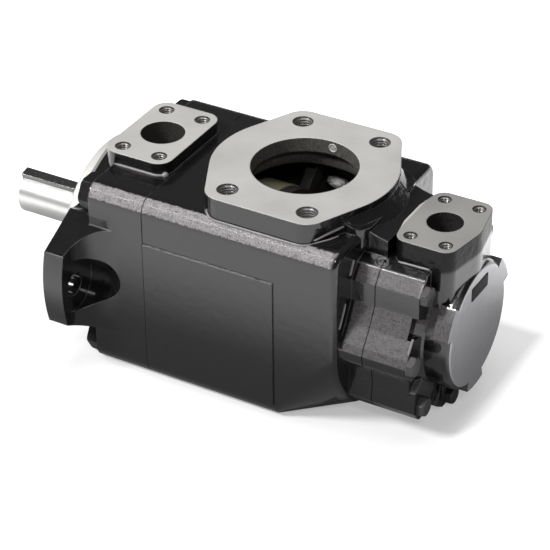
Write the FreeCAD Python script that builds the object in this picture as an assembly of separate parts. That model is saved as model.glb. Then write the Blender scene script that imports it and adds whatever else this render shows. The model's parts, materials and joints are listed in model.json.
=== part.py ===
import FreeCAD, Part
import math
import os

# Double vane pump, millimetres. X runs along the shaft from the drive end to the rear cap,
# Z is up. The origin is the centre of the mounting flange's face, on the shaft axis.

# Drive shaft and key
SHAFT_R = 15.875
SHAFT_END_X = -86.3
SHAFT_CHAMFER = 1.5
SHAFT_RELIEF = 2.25
SPLINE_PAST = 4.0
KEY_W = 7.94
KEY_TOP = 19.4
KEY_LENGTH = 56.0
KEY_TURN = 10.5
SEAL_JOURNAL_R = 18.0
SEAL_JOURNAL_LENGTH = 22.0
SHOULDER_R = 23.5
SHOULDER_W = 4.0
NECK_R = 17.6
WAIST_R = 14.6
REAR_JOURNAL_R = 12.0
SHAFT_REAR_X = 281.0
SPLINE_TEETH = 12
SPLINE_DEPTH = 1.8
P1_SPLINE_R = 17.0
P2_SPLINE_R = 13.5

# Mounting flange
PILOT_R = 63.5
PILOT_DEPTH = 12.7
PILOT_CHAMFER = 1.5
FLANGE_T = 16.0
FLANGE_HUB_R = 72.3
EAR_BOLT_Y = 90.5
EAR_HOLE_R = 8.75
EAR_LAND = 16.0
EAR_HALF = 29.0
EAR_TIP = 12.0
FLARE_Y = 102.0
FLARE_LENGTH = 29.0
POCKET_R = 21.0
POCKET_STRAIGHT = 14.0

# Square body, shared by the front cap and the centre housing
BODY_HALF_Y = 75.0
BODY_TOP = 74.3
BODY_BOTTOM = -74.0
BODY_CORNER_R = 12.0
CAP_FRONT_X = 20.7
FRONT_JOINT_X = 64.7
TAPER_X = 170.0
TAPER_CORNER_R = 71.5
BOX_REAR_X = 217.5
REAR_JOINT_X = 235.5
REAR_FLANGE_X = 268.5
REAR_FACE_X = 288.5
PANEL_RAISE = 1.2
PANEL_TOP = 40.0
PANEL_REAR_X = 169.0

# Foot behind the suction pad, its flared skirt, and the saddle from there to the rear cap
FOOT_X = 205.0
FOOT_Z = 82.0
FOOT_HALF_Y = 42.0
SADDLE_X = 216.0
SADDLE_Z = 78.0
SADDLE_HALF_Y = 34.4
SADDLE_REAR_Z = 71.5
SADDLE_SAG = 1.0
SKIRT_Z = 84.4
SKIRT_HALF_Y = 39.6
SKIRT_FLARE = 0.75
BOX_REAR_EDGE_R = 4.5

# Rear joint's outline: corners of its +Y half as offsets in Y and Z from the bolts at these angles
# of the bolt circle, each with its rounding; and the rise of its crown to the saddle's line
DRUM_OUTLINE = {45: [(-1.0, 10.9, 2.0), (7.2, 0.7, 3.0), (7.2, -15.1, 3.0)],
                0: [(-4.0, 16.5, 3.0), (4.3, 5.0, 3.0), (6.5, 0.0, 3.0), (5.5, -9.0, 7.0),
                    (-8.5, -20.0, 7.0), (-10.5, -33.0, 7.0)],
                315: [(9.9, -1.9, 5.0), (1.9, -11.7, 5.0), (-14.6, -10.9, 7.0)],
                270: [(9.0, -6.5, 4.0)]}
CROWN_RISE = 2.4
BOSS_RAISE = 4.5
BOSS_HALF = 15.25

# Rear drum: round barrel of the rear cap and its blend into the flange
BARREL_R = 47.0
BARREL_EDGE_R = 4.8
BARREL_BLEND = 6.0
LOBE_ANGLES = (30, 150, 270)
LOBE_R = 50.3
LOBE_HALF = 14.0
LOBE_LENGTH = 11.5

# Ports: place along X, face height, bolt spacing in X and Y, bore, pad outline, threads
P1_PORT = {"x": 36.8, "z": 83.8, "dx": 30.2, "dy": 58.7, "r": 16.0, "boss_r": 11.0, "bulge_r": 0.0,
           "tap_r": 5.1, "tap_depth": 20.0}
S_PORT = {"x": 152.7, "z": 89.6, "dx": 61.9, "dy": 106.4, "r": 38.0, "boss_r": 15.5, "bulge_r": 66.5,
          "tap_r": 7.0, "tap_depth": 24.0}
P2_PORT = {"x": 260.9, "z": 76.0, "dx": 26.2, "dy": 52.4, "r": 12.7, "boss_r": 9.2, "bulge_r": 26.8,
           "tap_r": 4.25, "tap_depth": 16.0}
S_THROAT = 11.0
S_THROAT_RELIEF = 6.0

# Hexagon bolts: shank radius, head across flats and height, place, reach into the thread
FRONT_BOLT = {"r": 8.0, "flats": 24.0, "head": 10.0, "half_y": 60.0, "half_z": 60.0, "reach": 18.0}
FRONT_BOLT_POCKET_R = 15.5
REAR_BOLT = {"r": 4.0, "flats": 13.0, "head": 5.3, "pitch_r": 64.5, "reach": 16.0}
REAR_BOLT_ANGLES = (0, 45, 135, 180, 225, 270, 315)
THREAD_GAP = 0.05
HOLE_GAP = 0.5
HOLE_END_GAP = 2.3
CROWN_CUT = 0.9
CROWN_RUN = 1.6
REAR_HEAD_TURN = 30.0

# Front ball bearing, its rings, and the shaft seal
BEARING_X = 12.0
BEARING_W = 18.0
BEARING_BORE_R = 20.0
BEARING_OUTER_R = 40.0
ROLLER_R = 5.5
ROLLER_LENGTH = 11.0
ROLLER_COUNT = 12
RACE_RIB = 1.6
CAGE_WALL = 1.4
CAGE_BAR = 1.4
RING_CLIP_T = 1.75
CLIP_DEPTH = 2.0
CLIP_STAND = 2.6
CLIP_MOUTH = 24.0
SEAL_X = -10.0
SEAL_W = 8.0
SEAL_OUTER_R = 31.0
SEAL_SHELL = 1.7
SEAL_LIP = 1.2
SEAL_HEEL = 5.0
SPRING_WIRE_R = 0.8
SPRING_BACK = 2.4
SEAL_WALL_R = 21.5
SEAL_WALL = 5.0
CLIP_ROOM_R = 26.0
RUN_GAP = 0.05

# Cartridges: where the pressure plate starts, plate and ring widths, radii, vanes
P1 = {"x": 58.0, "plate": 12.0, "ring": 38.0, "port_plate": 20.0, "outer_r": 59.0, "rotor_r": 40.0,
      "cam_min": 40.6, "cam_max": 46.4, "vane_t": 4.0, "vane_h": 13.4, "slot_h": 15.0, "root_r": 2.4,
      "hub_r": 39.9, "hub": 12.0, "spline_r": P1_SPLINE_R, "pin_r": 3.0, "screw_r": 3.0,
      "screw_head_r": 5.0, "screw_head": 6.0, "screw_land": 9.0, "kidney_out": 50.0, "bore_r": 18.4}
P2 = {"x": 243.0, "plate": 13.0, "ring": 32.0, "port_plate": 12.0, "outer_r": 46.0, "rotor_r": 30.0,
      "cam_min": 30.6, "cam_max": 34.8, "vane_t": 3.2, "vane_h": 9.6, "slot_h": 10.4, "root_r": 1.9,
      "hub_r": 19.9, "hub": 8.0, "spline_r": P2_SPLINE_R, "pin_r": 2.5, "screw_r": 2.5,
      "screw_head_r": 4.2, "screw_head": 5.0, "screw_land": 7.5, "kidney_out": 37.5, "bore_r": 15.4}
VANE_COUNT = 10
VANE_REST_GAP = 0.2
VANE_TIP_DROP = 0.8
SLOT_GAP = 0.02
SIDE_GAP = 0.03
SEAT_GAP = 0.05
KIDNEY_HALF = 24.0
CAM_DWELL = 18.0
CAM_STEPS = 4
SCREW_ANGLE = 80.0
PIN_ANGLE = 100.0
SCREW_TIP = 8.0
PIN_BLIND = 5.0
CORD_R = 1.48
CORD_SIDES = 6
GROOVE_W = 3.4
GROOVE_DEPTH = 3.0
JOINT_GROOVE_LAND = 3.0

# Cored passages inside the castings
CAVITY_FRONT_X = 88.0
CAVITY_REAR_X = 180.0
CAVITY_SIDE = 3.0
CAVITY_ABOVE = 7.0
CAVITY_BELOW = 2.0
CAVITY_CORNER_R = 25.0
PORT_FLOOR = 3.0
SHAFT_WAY = 10.0
P2_WAY = 2.0
OIL_GROOVE = 1.25
WEB_T = 8.0
WEB_RIB_W = 14.0
CHAMBER_WALL = 5.0
P1_CHAMBER_X = 34.0
P1_CHAMBER_R = 56.0
P2_CHAMBER_X = 264.0
P2_CHAMBER_R = 37.0
CHANNEL_R = 6.0
CHANNEL_END_X = 214.0
REAR_BUSH_R = 16.0
REAR_BUSH_X = 268.0
REAR_BUSH_W = 14.0
BUSH_END_GAP = 1.0
BLIND_GAP = 2.0
OVER = 1.0


def vec(x, y, z):
    return FreeCAD.Vector(x, y, z)


def in_yz(x):
    return lambda u, v: vec(x, u, v)


def in_xy(z):
    return lambda u, v: vec(u, v, z)


def in_xz(y):
    return lambda u, v: vec(u, y, v)


def rod_x(x0, x1, r, y=0.0, z=0.0):
    return Part.makeCylinder(r, x1 - x0, vec(x0, y, z), vec(1, 0, 0))


def rod_z(x, y, z0, z1, r):
    return Part.makeCylinder(r, z1 - z0, vec(x, y, z0), vec(0, 0, 1))


def ring_x(x0, x1, r_out, r_in):
    return rod_x(x0, x1, r_out).cut(rod_x(x0 - OVER, x1 + OVER, r_in))


def block(x0, x1, y0, y1, z0, z1):
    return Part.makeBox(x1 - x0, y1 - y0, z1 - z0, vec(x0, y0, z0))


def turned(shape, angle):
    """Copy of a shape turned about the shaft axis."""
    copy = shape.copy()
    copy.rotate(vec(0, 0, 0), vec(1, 0, 0), angle)
    return copy


def on_circle(r, angle):
    """Y and Z of a point at an angle from +Y about the shaft axis."""
    return r * math.cos(math.radians(angle)), r * math.sin(math.radians(angle))


def sector_x(x0, x1, r_out, r_in, angle, half):
    """Sector of a ring about the shaft axis, centred on an angle from +Y."""
    reach = 2 * r_out
    y, z = reach * math.cos(math.radians(half)), reach * math.sin(math.radians(half))
    wedge = Part.makePolygon([vec(x0, 0, 0), vec(x0, y, z), vec(x0, y, -z), vec(x0, 0, 0)])
    return turned(prism(wedge, vec(x1 - x0, 0, 0)).common(ring_x(x0, x1, r_out, r_in)), angle)


def all_signs(a, b):
    return [(i * a, j * b) for i in (-1, 1) for j in (-1, 1)]


def rounded_wire(points, place):
    """Closed outline through (u, v, radius) corners, each rounded by a tangent arc."""
    ends = []
    for i, (u, v, r) in enumerate(points):
        before, after = points[i - 1], points[(i + 1) % len(points)]
        a = math.atan2(before[1] - v, before[0] - u)
        b = math.atan2(after[1] - v, after[0] - u)
        half = abs((b - a + math.pi) % (2 * math.pi) - math.pi) / 2
        reach = r / math.tan(half)
        start = (u + reach * math.cos(a), v + reach * math.sin(a))
        end = (u + reach * math.cos(b), v + reach * math.sin(b))
        du, dv = (start[0] + end[0]) / 2 - u, (start[1] + end[1]) / 2 - v
        pull = (r / math.sin(half) - r) / max(math.hypot(du, dv), 1e-9)
        ends.append((start, (u + du * pull, v + dv * pull), end, r))
    edges = []
    for i, (start, middle, end, r) in enumerate(ends):
        if r > 0:
            edges.append(Part.Arc(place(*start), place(*middle), place(*end)).toShape())
        edges.append(Part.LineSegment(place(*end), place(*ends[(i + 1) % len(ends)][0])).toShape())
    return Part.Wire(edges)


def hull_wire(circles, place):
    """Closed outline stretched round (u, v, radius) circles: arcs joined by tangent lines."""
    steps = 3600

    def outermost(t):
        c, s = math.cos(t), math.sin(t)
        return max(range(len(circles)), key=lambda k: circles[k][0] * c + circles[k][1] * s + circles[k][2])

    turns = []
    for k in range(steps):
        t0, t1 = 2 * math.pi * k / steps, 2 * math.pi * (k + 1) / steps
        i, j = outermost(t0), outermost(t1)
        if i != j:
            du, dv = circles[i][0] - circles[j][0], circles[i][1] - circles[j][1]
            spread = math.acos((circles[j][2] - circles[i][2]) / math.hypot(du, dv))
            lean = math.atan2(dv, du)
            best = min((lean + spread, lean - spread),
                       key=lambda t: abs((t - t0 + math.pi) % (2 * math.pi) - math.pi))
            turns.append((best, i, j))
    edges = []
    for n, (t, i, j) in enumerate(turns):
        leave = turns[(n + 1) % len(turns)][0]
        span = (leave - t) % (2 * math.pi)

        def at(k, angle):
            u, v, r = circles[k]
            return place(u + r * math.cos(angle), v + r * math.sin(angle))

        edges.append(Part.LineSegment(at(i, t), at(j, t)).toShape())
        if circles[j][2] > 0:
            edges.append(Part.Arc(at(j, t), at(j, t + span / 2), at(j, leave)).toShape())
    return Part.Wire(edges)


def prism(wire, direction):
    return Part.Face(wire).extrude(direction)


def edges_at(solid, x):
    """Edges that lie in the plane at x."""
    return [e for e in solid.Edges if abs(e.BoundBox.XMin - x) < 0.01 and e.BoundBox.XLength < 0.01]


def hexagon_bolt(x_seat, y, z, bolt, x_tip, toward, turn=0.0):
    """Hexagon bolt along X: its head stands on x_seat on the side that toward gives."""
    corner = bolt["flats"] / math.sqrt(3)
    points = [(y + dy, z + dz, 0) for dy, dz in (on_circle(corner, 60 * k + turn) for k in range(6))]
    head = prism(rounded_wire(points, in_yz(x_seat)), vec(toward * bolt["head"], 0, 0))
    run = bolt["head"] * CROWN_RUN
    crown = Part.makeCone(corner - CROWN_CUT + run * 0.75, corner - CROWN_CUT, run,
                          vec(x_seat + toward * (bolt["head"] - run), y, z), vec(toward, 0, 0))
    shank = rod_x(min(x_seat, x_tip), max(x_seat, x_tip), bolt["r"], y, z)
    return head.common(crown).fuse(shank).removeSplitter()


# Sections of the castings

def body_section(x, bottom_corner_r):
    """Rounded square section of the body at x."""
    return rounded_wire([(BODY_HALF_Y, BODY_TOP, BODY_CORNER_R), (-BODY_HALF_Y, BODY_TOP, BODY_CORNER_R),
                         (-BODY_HALF_Y, BODY_BOTTOM, bottom_corner_r),
                         (BODY_HALF_Y, BODY_BOTTOM, bottom_corner_r)], in_yz(x))


def drum_section(x):
    """Outline of the rear joint: bolt bosses standing out round the drum."""
    crown = on_circle(REAR_BOLT["pitch_r"], 45)[1] + DRUM_OUTLINE[45][0][1]
    half = [(SADDLE_HALF_Y, crown + CROWN_RISE, 0.0)]
    for angle, corners in DRUM_OUTLINE.items():
        y, z = on_circle(REAR_BOLT["pitch_r"], angle)
        half += [(y + dy, z + dz, r) for dy, dz, r in corners]
    mirrored = [(-u, v, r) for u, v, r in reversed(half)]
    return rounded_wire(half + mirrored, in_yz(x))


def ear_r():
    return EAR_BOLT_Y + EAR_LAND


def flange_outline(x):
    """Two-bolt flange: hub circle with tangent lines out to the ears."""
    ear_y = math.sqrt(ear_r() ** 2 - EAR_HALF ** 2)
    reach = math.sqrt(ear_y ** 2 + EAR_HALF ** 2 - FLANGE_HUB_R ** 2)
    tilt = math.atan2(EAR_HALF, ear_y) + math.acos(FLANGE_HUB_R / ear_r())
    touch = (FLANGE_HUB_R * math.cos(tilt), FLANGE_HUB_R * math.sin(tilt))
    past = 1 + EAR_TIP / reach
    tip = (touch[0] + (ear_y - touch[0]) * past, touch[1] + (EAR_HALF - touch[1]) * past)
    corners = [(y, z, 0.0) for y, z in all_signs(*tip)]
    return hull_wire([(0.0, 0.0, FLANGE_HUB_R)] + corners, in_yz(x))


def flange_solid(x0, x1):
    return prism(flange_outline(x0), vec(x1 - x0, 0, 0)).common(rod_x(x0, x1, ear_r()))


def port_pad(port, z_low):
    """Pad under a port face: bosses round the four threads, bulging round the bore."""
    circles = [(port["x"] + i, j, port["boss_r"]) for i, j in all_signs(port["dx"] / 2, port["dy"] / 2)]
    if port["bulge_r"] > 0:
        circles.append((port["x"], 0.0, port["bulge_r"]))
    return prism(hull_wire(circles, in_xy(z_low)), vec(0, 0, port["z"] - z_low))


def port_threads(port):
    """Blind tapped holes in a port face."""
    holes = [rod_z(port["x"] + i, j, port["z"] - port["tap_depth"], port["z"] + OVER, port["tap_r"])
             for i, j in all_signs(port["dx"] / 2, port["dy"] / 2)]
    return holes[0].multiFuse(holes[1:])


def cut_all(solid, cutters):
    return solid.cut(cutters[0].multiFuse(cutters[1:])) if len(cutters) > 1 else solid.cut(cutters[0])


# Castings

def ear_flare(side):
    """Gusset behind a mounting ear that sweeps back into the side of the body."""
    x0, x1 = FLANGE_T, FLANGE_T + FLARE_LENGTH
    y0, y1 = BODY_HALF_Y, FLARE_Y
    root = BODY_HALF_Y - BODY_CORNER_R
    lean = math.sqrt(0.5)
    low = -ear_r()
    arc = Part.Arc(vec(x0, side * y1, low), vec(x1 - (x1 - x0) * lean, side * (y1 - (y1 - y0) * lean), low),
                   vec(x1, side * y0, low)).toShape()
    corners = [vec(x1, side * y0, low), vec(x1, side * root, low), vec(x0, side * root, low),
               vec(x0, side * y1, low)]
    lines = [Part.LineSegment(corners[k], corners[k + 1]).toShape() for k in range(3)]
    sweep = prism(Part.Wire([arc] + lines), vec(0, 0, -2 * low))
    return sweep.common(flange_solid(x0, x1))


def bolt_pocket(side):
    """Scoop behind a mounting ear that gives the mounting bolt's head room to turn."""
    x0 = FLANGE_T
    x1 = FLANGE_T + POCKET_STRAIGHT
    y = side * EAR_BOLT_Y
    return rod_x(x0, x1, POCKET_R, y, 0).fuse(Part.makeSphere(POCKET_R, vec(x1, y, 0)).common(
        block(x1, x1 + POCKET_R + OVER, y - POCKET_R, y + POCKET_R, -POCKET_R, POCKET_R)))


def front_cap():
    bearing_end = BEARING_X + BEARING_W
    bearing_r = BEARING_OUTER_R + SEAT_GAP
    pilot = Part.makeCone(PILOT_R - PILOT_CHAMFER, PILOT_R, PILOT_CHAMFER, vec(-PILOT_DEPTH, 0, 0),
                          vec(1, 0, 0)).fuse(rod_x(PILOT_CHAMFER - PILOT_DEPTH, 0, PILOT_R))
    body = prism(body_section(CAP_FRONT_X, BODY_CORNER_R), vec(FRONT_JOINT_X - CAP_FRONT_X, 0, 0))
    solid = pilot.multiFuse([flange_solid(0, FLANGE_T), rod_x(0, CAP_FRONT_X, FLANGE_HUB_R), body,
                             ear_flare(-1), ear_flare(1), port_pad(P1_PORT, BODY_TOP - BODY_CORNER_R)])
    cuts = [bolt_pocket(-1), bolt_pocket(1), port_threads(P1_PORT)]
    cuts += [rod_x(-OVER, FLANGE_T + OVER, EAR_HOLE_R, side * EAR_BOLT_Y) for side in (-1, 1)]
    for y, z in all_signs(FRONT_BOLT["half_y"], FRONT_BOLT["half_z"]):
        cuts.append(rod_x(-OVER, CAP_FRONT_X, FRONT_BOLT_POCKET_R, y, z))
        cuts.append(rod_x(-OVER, FRONT_JOINT_X + OVER, FRONT_BOLT["r"] + HOLE_GAP, y, z))
    cuts += [rod_x(-PILOT_DEPTH - OVER, SEAL_X + SEAL_W, SEAL_OUTER_R + SEAT_GAP),
             rod_x(-PILOT_DEPTH, BEARING_X, SEAL_WALL_R),
             rod_x(SEAL_X + SEAL_W + SEAL_WALL, BEARING_X, CLIP_ROOM_R),
             rod_x(BEARING_X, P1["x"] + OVER, bearing_r),
             rod_x(bearing_end, bearing_end + RING_CLIP_T + SEAT_GAP, bearing_r + CLIP_DEPTH),
             ring_x(P1_CHAMBER_X, P1["x"] + OVER, P1_CHAMBER_R, BEARING_OUTER_R + CHAMBER_WALL),
             rod_x(P1["x"], FRONT_JOINT_X + OVER, P1["outer_r"] + SEAT_GAP),
             rod_z(P1_PORT["x"], 0, BEARING_OUTER_R + CHAMBER_WALL + PORT_FLOOR, P1_PORT["z"] + OVER,
                   P1_PORT["r"])]
    return cut_all(solid, cuts)


def web_shape():
    """Spider inside the suction chamber that the front cartridge's rear plate seats on."""
    x0 = P1["x"] + P1["plate"] + P1["ring"] + P1["port_plate"]
    ring = ring_x(x0, x0 + WEB_T, P1["outer_r"] - OVER, P1["cam_min"] - SHAFT_WAY)
    rib = block(x0, x0 + WEB_T, P1["cam_max"], BODY_HALF_Y * 1.5, -WEB_RIB_W / 2, WEB_RIB_W / 2)
    return ring.multiFuse([turned(rib, angle) for angle in (45, 135, 225, 315)])


def cavity_top():
    return P1["outer_r"] + CAVITY_ABOVE


def suction_chamber():
    """Room round the front cartridge and under the suction port, less the web."""
    half, top, bottom = P1["outer_r"] + CAVITY_SIDE, cavity_top(), -P1["outer_r"] - CAVITY_BELOW
    outline = rounded_wire([(half, top, CAVITY_CORNER_R), (-half, top, CAVITY_CORNER_R),
                            (-half, bottom, CAVITY_CORNER_R), (half, bottom, CAVITY_CORNER_R)],
                           in_yz(CAVITY_FRONT_X))
    room = prism(outline, vec(CAVITY_REAR_X - CAVITY_FRONT_X, 0, 0))
    return room.cut(web_shape())


def pad_foot():
    """Block behind the suction pad: its top slopes to the rear, its corners are drawn in."""
    x0, low = S_PORT["x"], BODY_TOP - BODY_CORNER_R
    rear = BOX_REAR_X + BOX_REAR_EDGE_R
    plan = hull_wire([(x0, i, 0.0) for i in (-FOOT_HALF_Y, FOOT_HALF_Y)]
                     + [(rear - BODY_CORNER_R, i, BODY_CORNER_R)
                        for i in (BODY_CORNER_R - FOOT_HALF_Y, FOOT_HALF_Y - BODY_CORNER_R)], in_xy(low))
    at = in_xz(-FOOT_HALF_Y)
    side = Part.makePolygon([at(x0, low), at(x0, FOOT_Z), at(FOOT_X, FOOT_Z), at(SADDLE_X, SADDLE_Z),
                             at(rear, SADDLE_Z), at(rear, low), at(x0, low)])
    return prism(plan, vec(0, 0, S_PORT["z"] - low)).common(prism(side, vec(0, 2 * FOOT_HALF_Y, 0)))


def pad_skirt():
    """Flare that runs from the suction pad's rear bulge down to the foot and the saddle."""
    drop = SKIRT_Z - SADDLE_REAR_Z
    cone = Part.makeCone(S_PORT["bulge_r"] + drop * SKIRT_FLARE, S_PORT["bulge_r"], drop,
                         vec(S_PORT["x"], 0, SADDLE_REAR_Z), vec(0, 0, 1))
    return cone.common(block(S_PORT["x"], REAR_JOINT_X, -SKIRT_HALF_Y, SKIRT_HALF_Y,
                             SADDLE_REAR_Z, SKIRT_Z))


def saddle():
    """Bridge over the rear passage that falls in a hollow curve to the rear joint."""
    x0, x1 = BOX_REAR_X - BODY_CORNER_R, REAR_JOINT_X
    at = in_xz(-SADDLE_HALF_Y)
    middle = (SADDLE_Z + SADDLE_REAR_Z) / 2 - SADDLE_SAG
    fall = Part.Arc(at(SADDLE_X, SADDLE_Z), at((SADDLE_X + x1) / 2, middle), at(x1, SADDLE_REAR_Z)).toShape()
    low = REAR_BOLT["pitch_r"] * math.sqrt(0.5)
    rest = Part.makePolygon([at(x1, SADDLE_REAR_Z), at(x1, low), at(x0, low), at(x0, SADDLE_Z),
                             at(SADDLE_X, SADDLE_Z)])
    return prism(Part.Wire([fall] + rest.Edges), vec(0, 2 * SADDLE_HALF_Y, 0))


def centre_housing():
    p2_seat = P2["x"] - P2["plate"] - P2["ring"] - P2["port_plate"]
    box = prism(body_section(FRONT_JOINT_X, BODY_CORNER_R), vec(TAPER_X - FRONT_JOINT_X, 0, 0))
    taper = Part.makeLoft([body_section(TAPER_X, BODY_CORNER_R), body_section(BOX_REAR_X, TAPER_CORNER_R)],
                          True, True)
    taper = taper.makeFillet(BOX_REAR_EDGE_R, edges_at(taper, BOX_REAR_X))
    drum_x = BOX_REAR_X - 2 * BOX_REAR_EDGE_R
    drum = prism(drum_section(drum_x), vec(REAR_JOINT_X - drum_x, 0, 0))
    panel = block(FRONT_JOINT_X, PANEL_REAR_X, -BODY_HALF_Y - PANEL_RAISE, BODY_HALF_Y + PANEL_RAISE,
                  BODY_BOTTOM + BODY_CORNER_R, PANEL_TOP)
    solid = box.multiFuse([taper, drum, panel, port_pad(S_PORT, BODY_TOP - BODY_CORNER_R), pad_foot(),
                           pad_skirt(), saddle()])
    throat_low = S_PORT["z"] - S_THROAT
    cuts = [suction_chamber(), port_threads(S_PORT),
            rod_z(S_PORT["x"], 0, throat_low - OVER, S_PORT["z"] + OVER, S_PORT["r"]),
            rod_z(S_PORT["x"], 0, cavity_top() - OVER, throat_low, S_PORT["r"] + S_THROAT_RELIEF),
            rod_x(FRONT_JOINT_X - OVER, CAVITY_FRONT_X + OVER, P1["outer_r"] + SEAT_GAP),
            rod_x(p2_seat, REAR_JOINT_X + OVER, P2["outer_r"] + SEAT_GAP),
            rod_x(CAVITY_REAR_X - OVER, p2_seat + OVER, P2["cam_min"] + P2_WAY),
            ring_x(FRONT_JOINT_X - OVER, FRONT_JOINT_X + GROOVE_DEPTH,
                   P1["outer_r"] + JOINT_GROOVE_LAND + GROOVE_W, P1["outer_r"] + JOINT_GROOVE_LAND),
            ring_x(REAR_JOINT_X - GROOVE_DEPTH, REAR_JOINT_X + OVER,
                   P2["outer_r"] + JOINT_GROOVE_LAND + GROOVE_W, P2["outer_r"] + JOINT_GROOVE_LAND)]
    for angle in (45, 135, 225, 315):
        y, z = on_circle(P2["outer_r"], angle)
        cuts.append(rod_x(CAVITY_REAR_X - OVER, CHANNEL_END_X, CHANNEL_R, y, z))
    for y, z in all_signs(FRONT_BOLT["half_y"], FRONT_BOLT["half_z"]):
        cuts.append(rod_x(FRONT_JOINT_X - OVER, FRONT_JOINT_X + FRONT_BOLT["reach"] + HOLE_END_GAP,
                          FRONT_BOLT["r"] + THREAD_GAP, y, z))
    for angle in REAR_BOLT_ANGLES:
        y, z = on_circle(REAR_BOLT["pitch_r"], angle)
        cuts.append(rod_x(REAR_JOINT_X - REAR_BOLT["reach"] - HOLE_END_GAP, REAR_JOINT_X + OVER,
                          REAR_BOLT["r"] + THREAD_GAP, y, z))
    return cut_all(solid, cuts)


def boss_hollows(x0, x1):
    """Hollows in the rear flange's face between bolt bosses that stand side by side."""
    middles = [(a + b) / 2 for a, b in zip(REAR_BOLT_ANGLES, REAR_BOLT_ANGLES[1:] + (360,)) if b - a == 45]
    reach = 2 * REAR_BOLT["pitch_r"]
    return [sector_x(x0, x1, reach, BARREL_R, middle, 22.5 - BOSS_HALF) for middle in middles]


def rear_cap():
    floor_x = REAR_FLANGE_X - BOSS_RAISE
    flange = prism(drum_section(REAR_JOINT_X), vec(REAR_FLANGE_X - REAR_JOINT_X, 0, 0))
    flange = cut_all(flange, boss_hollows(floor_x, REAR_FLANGE_X + OVER))
    barrel = rod_x(floor_x - OVER, REAR_FACE_X, BARREL_R)
    barrel = barrel.makeFillet(BARREL_EDGE_R, edges_at(barrel, REAR_FACE_X))
    blend = Part.makeCone(BARREL_R + BARREL_BLEND, BARREL_R, BARREL_BLEND, vec(floor_x, 0, 0), vec(1, 0, 0))
    lobes = [sector_x(REAR_FACE_X - LOBE_LENGTH, REAR_FACE_X, LOBE_R, BARREL_R - 2 * BARREL_EDGE_R,
                      angle, LOBE_HALF) for angle in LOBE_ANGLES]
    neck = port_pad(P2_PORT, 0.0)
    clear_of_housing = block(0, REAR_JOINT_X, -BODY_HALF_Y, BODY_HALF_Y, -OVER, P2_PORT["z"] + OVER)
    solid = flange.multiFuse([barrel, blend, neck.cut(clear_of_housing)] + lobes)
    hub_r = P2["hub_r"] + SEAT_GAP
    cuts = [port_threads(P2_PORT),
            rod_z(P2_PORT["x"], 0, hub_r + CHAMBER_WALL + PORT_FLOOR, P2_PORT["z"] + OVER, P2_PORT["r"]),
            rod_x(REAR_JOINT_X - OVER, P2["x"], P2["outer_r"] + SEAT_GAP),
            ring_x(P2["x"] - OVER, P2_CHAMBER_X, P2_CHAMBER_R, hub_r + CHAMBER_WALL),
            rod_x(P2["x"] - OVER, REAR_BUSH_X - BLIND_GAP, hub_r),
            rod_x(P2["x"], REAR_BUSH_X + REAR_BUSH_W + BUSH_END_GAP, REAR_BUSH_R + SEAT_GAP)]
    for angle in REAR_BOLT_ANGLES:
        y, z = on_circle(REAR_BOLT["pitch_r"], angle)
        cuts.append(rod_x(REAR_JOINT_X - OVER, REAR_FLANGE_X + OVER, REAR_BOLT["r"] + HOLE_GAP, y, z))
    return cut_all(solid, cuts)


# Fasteners and joint seals

def front_cap_bolts():
    tip = FRONT_JOINT_X + FRONT_BOLT["reach"]
    return Part.makeCompound([hexagon_bolt(CAP_FRONT_X, y, z, FRONT_BOLT, tip, -1)
                              for y, z in all_signs(FRONT_BOLT["half_y"], FRONT_BOLT["half_z"])])


def rear_cap_bolts():
    tip = REAR_JOINT_X - REAR_BOLT["reach"]
    return Part.makeCompound([hexagon_bolt(REAR_FLANGE_X, *on_circle(REAR_BOLT["pitch_r"], angle), REAR_BOLT,
                                           tip, 1, REAR_HEAD_TURN) for angle in REAR_BOLT_ANGLES])


def cord_ring(x, r, cord_r=CORD_R):
    """Ring about the shaft axis with a many-sided cord."""
    turns = [2 * math.pi * k / CORD_SIDES for k in range(CORD_SIDES)]
    points = [vec(x + cord_r * math.cos(turn), 0, r + cord_r * math.sin(turn)) for turn in turns]
    return Part.Face(Part.makePolygon(points + points[:1])).revolve(vec(0, 0, 0), vec(1, 0, 0), 360)


def front_joint_o_ring():
    return cord_ring(FRONT_JOINT_X + GROOVE_DEPTH / 2, P1["outer_r"] + JOINT_GROOVE_LAND + GROOVE_W / 2)


def rear_joint_o_ring():
    return cord_ring(REAR_JOINT_X - GROOVE_DEPTH / 2, P2["outer_r"] + JOINT_GROOVE_LAND + GROOVE_W / 2)


# Shaft seal and front bearing

def spring_place():
    return SEAL_X + SEAL_W - SPRING_BACK, SEAL_JOURNAL_R + SEAL_LIP + SPRING_BACK


def shaft_seal():
    x0, x1, r = SEAL_X, SEAL_X + SEAL_W, SEAL_JOURNAL_R
    points = [(x0, SEAL_OUTER_R), (x1, SEAL_OUTER_R), (x1, SEAL_OUTER_R - SEAL_SHELL),
              (x0 + SEAL_SHELL, SEAL_OUTER_R - SEAL_SHELL), (x0 + SEAL_SHELL, r + SEAL_HEEL),
              (x1 - SEAL_LIP, r + SEAL_HEEL), (x1 - SEAL_LIP, r + SEAL_LIP), (x0 + SEAL_HEEL, r + RUN_GAP),
              (x0, r + SEAL_LIP * 2)]
    wire = Part.makePolygon([vec(x, 0, z) for x, z in points + points[:1]])
    seal = Part.Face(wire).revolve(vec(0, 0, 0), vec(1, 0, 0), 360)
    x, ring_r = spring_place()
    return seal.cut(cord_ring(x, ring_r, SPRING_WIRE_R + SEAT_GAP))


def seal_garter_spring():
    x, ring_r = spring_place()
    return cord_ring(x, ring_r, SPRING_WIRE_R)


def roller_pitch_r():
    return (BEARING_BORE_R + BEARING_OUTER_R) / 2


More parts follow.
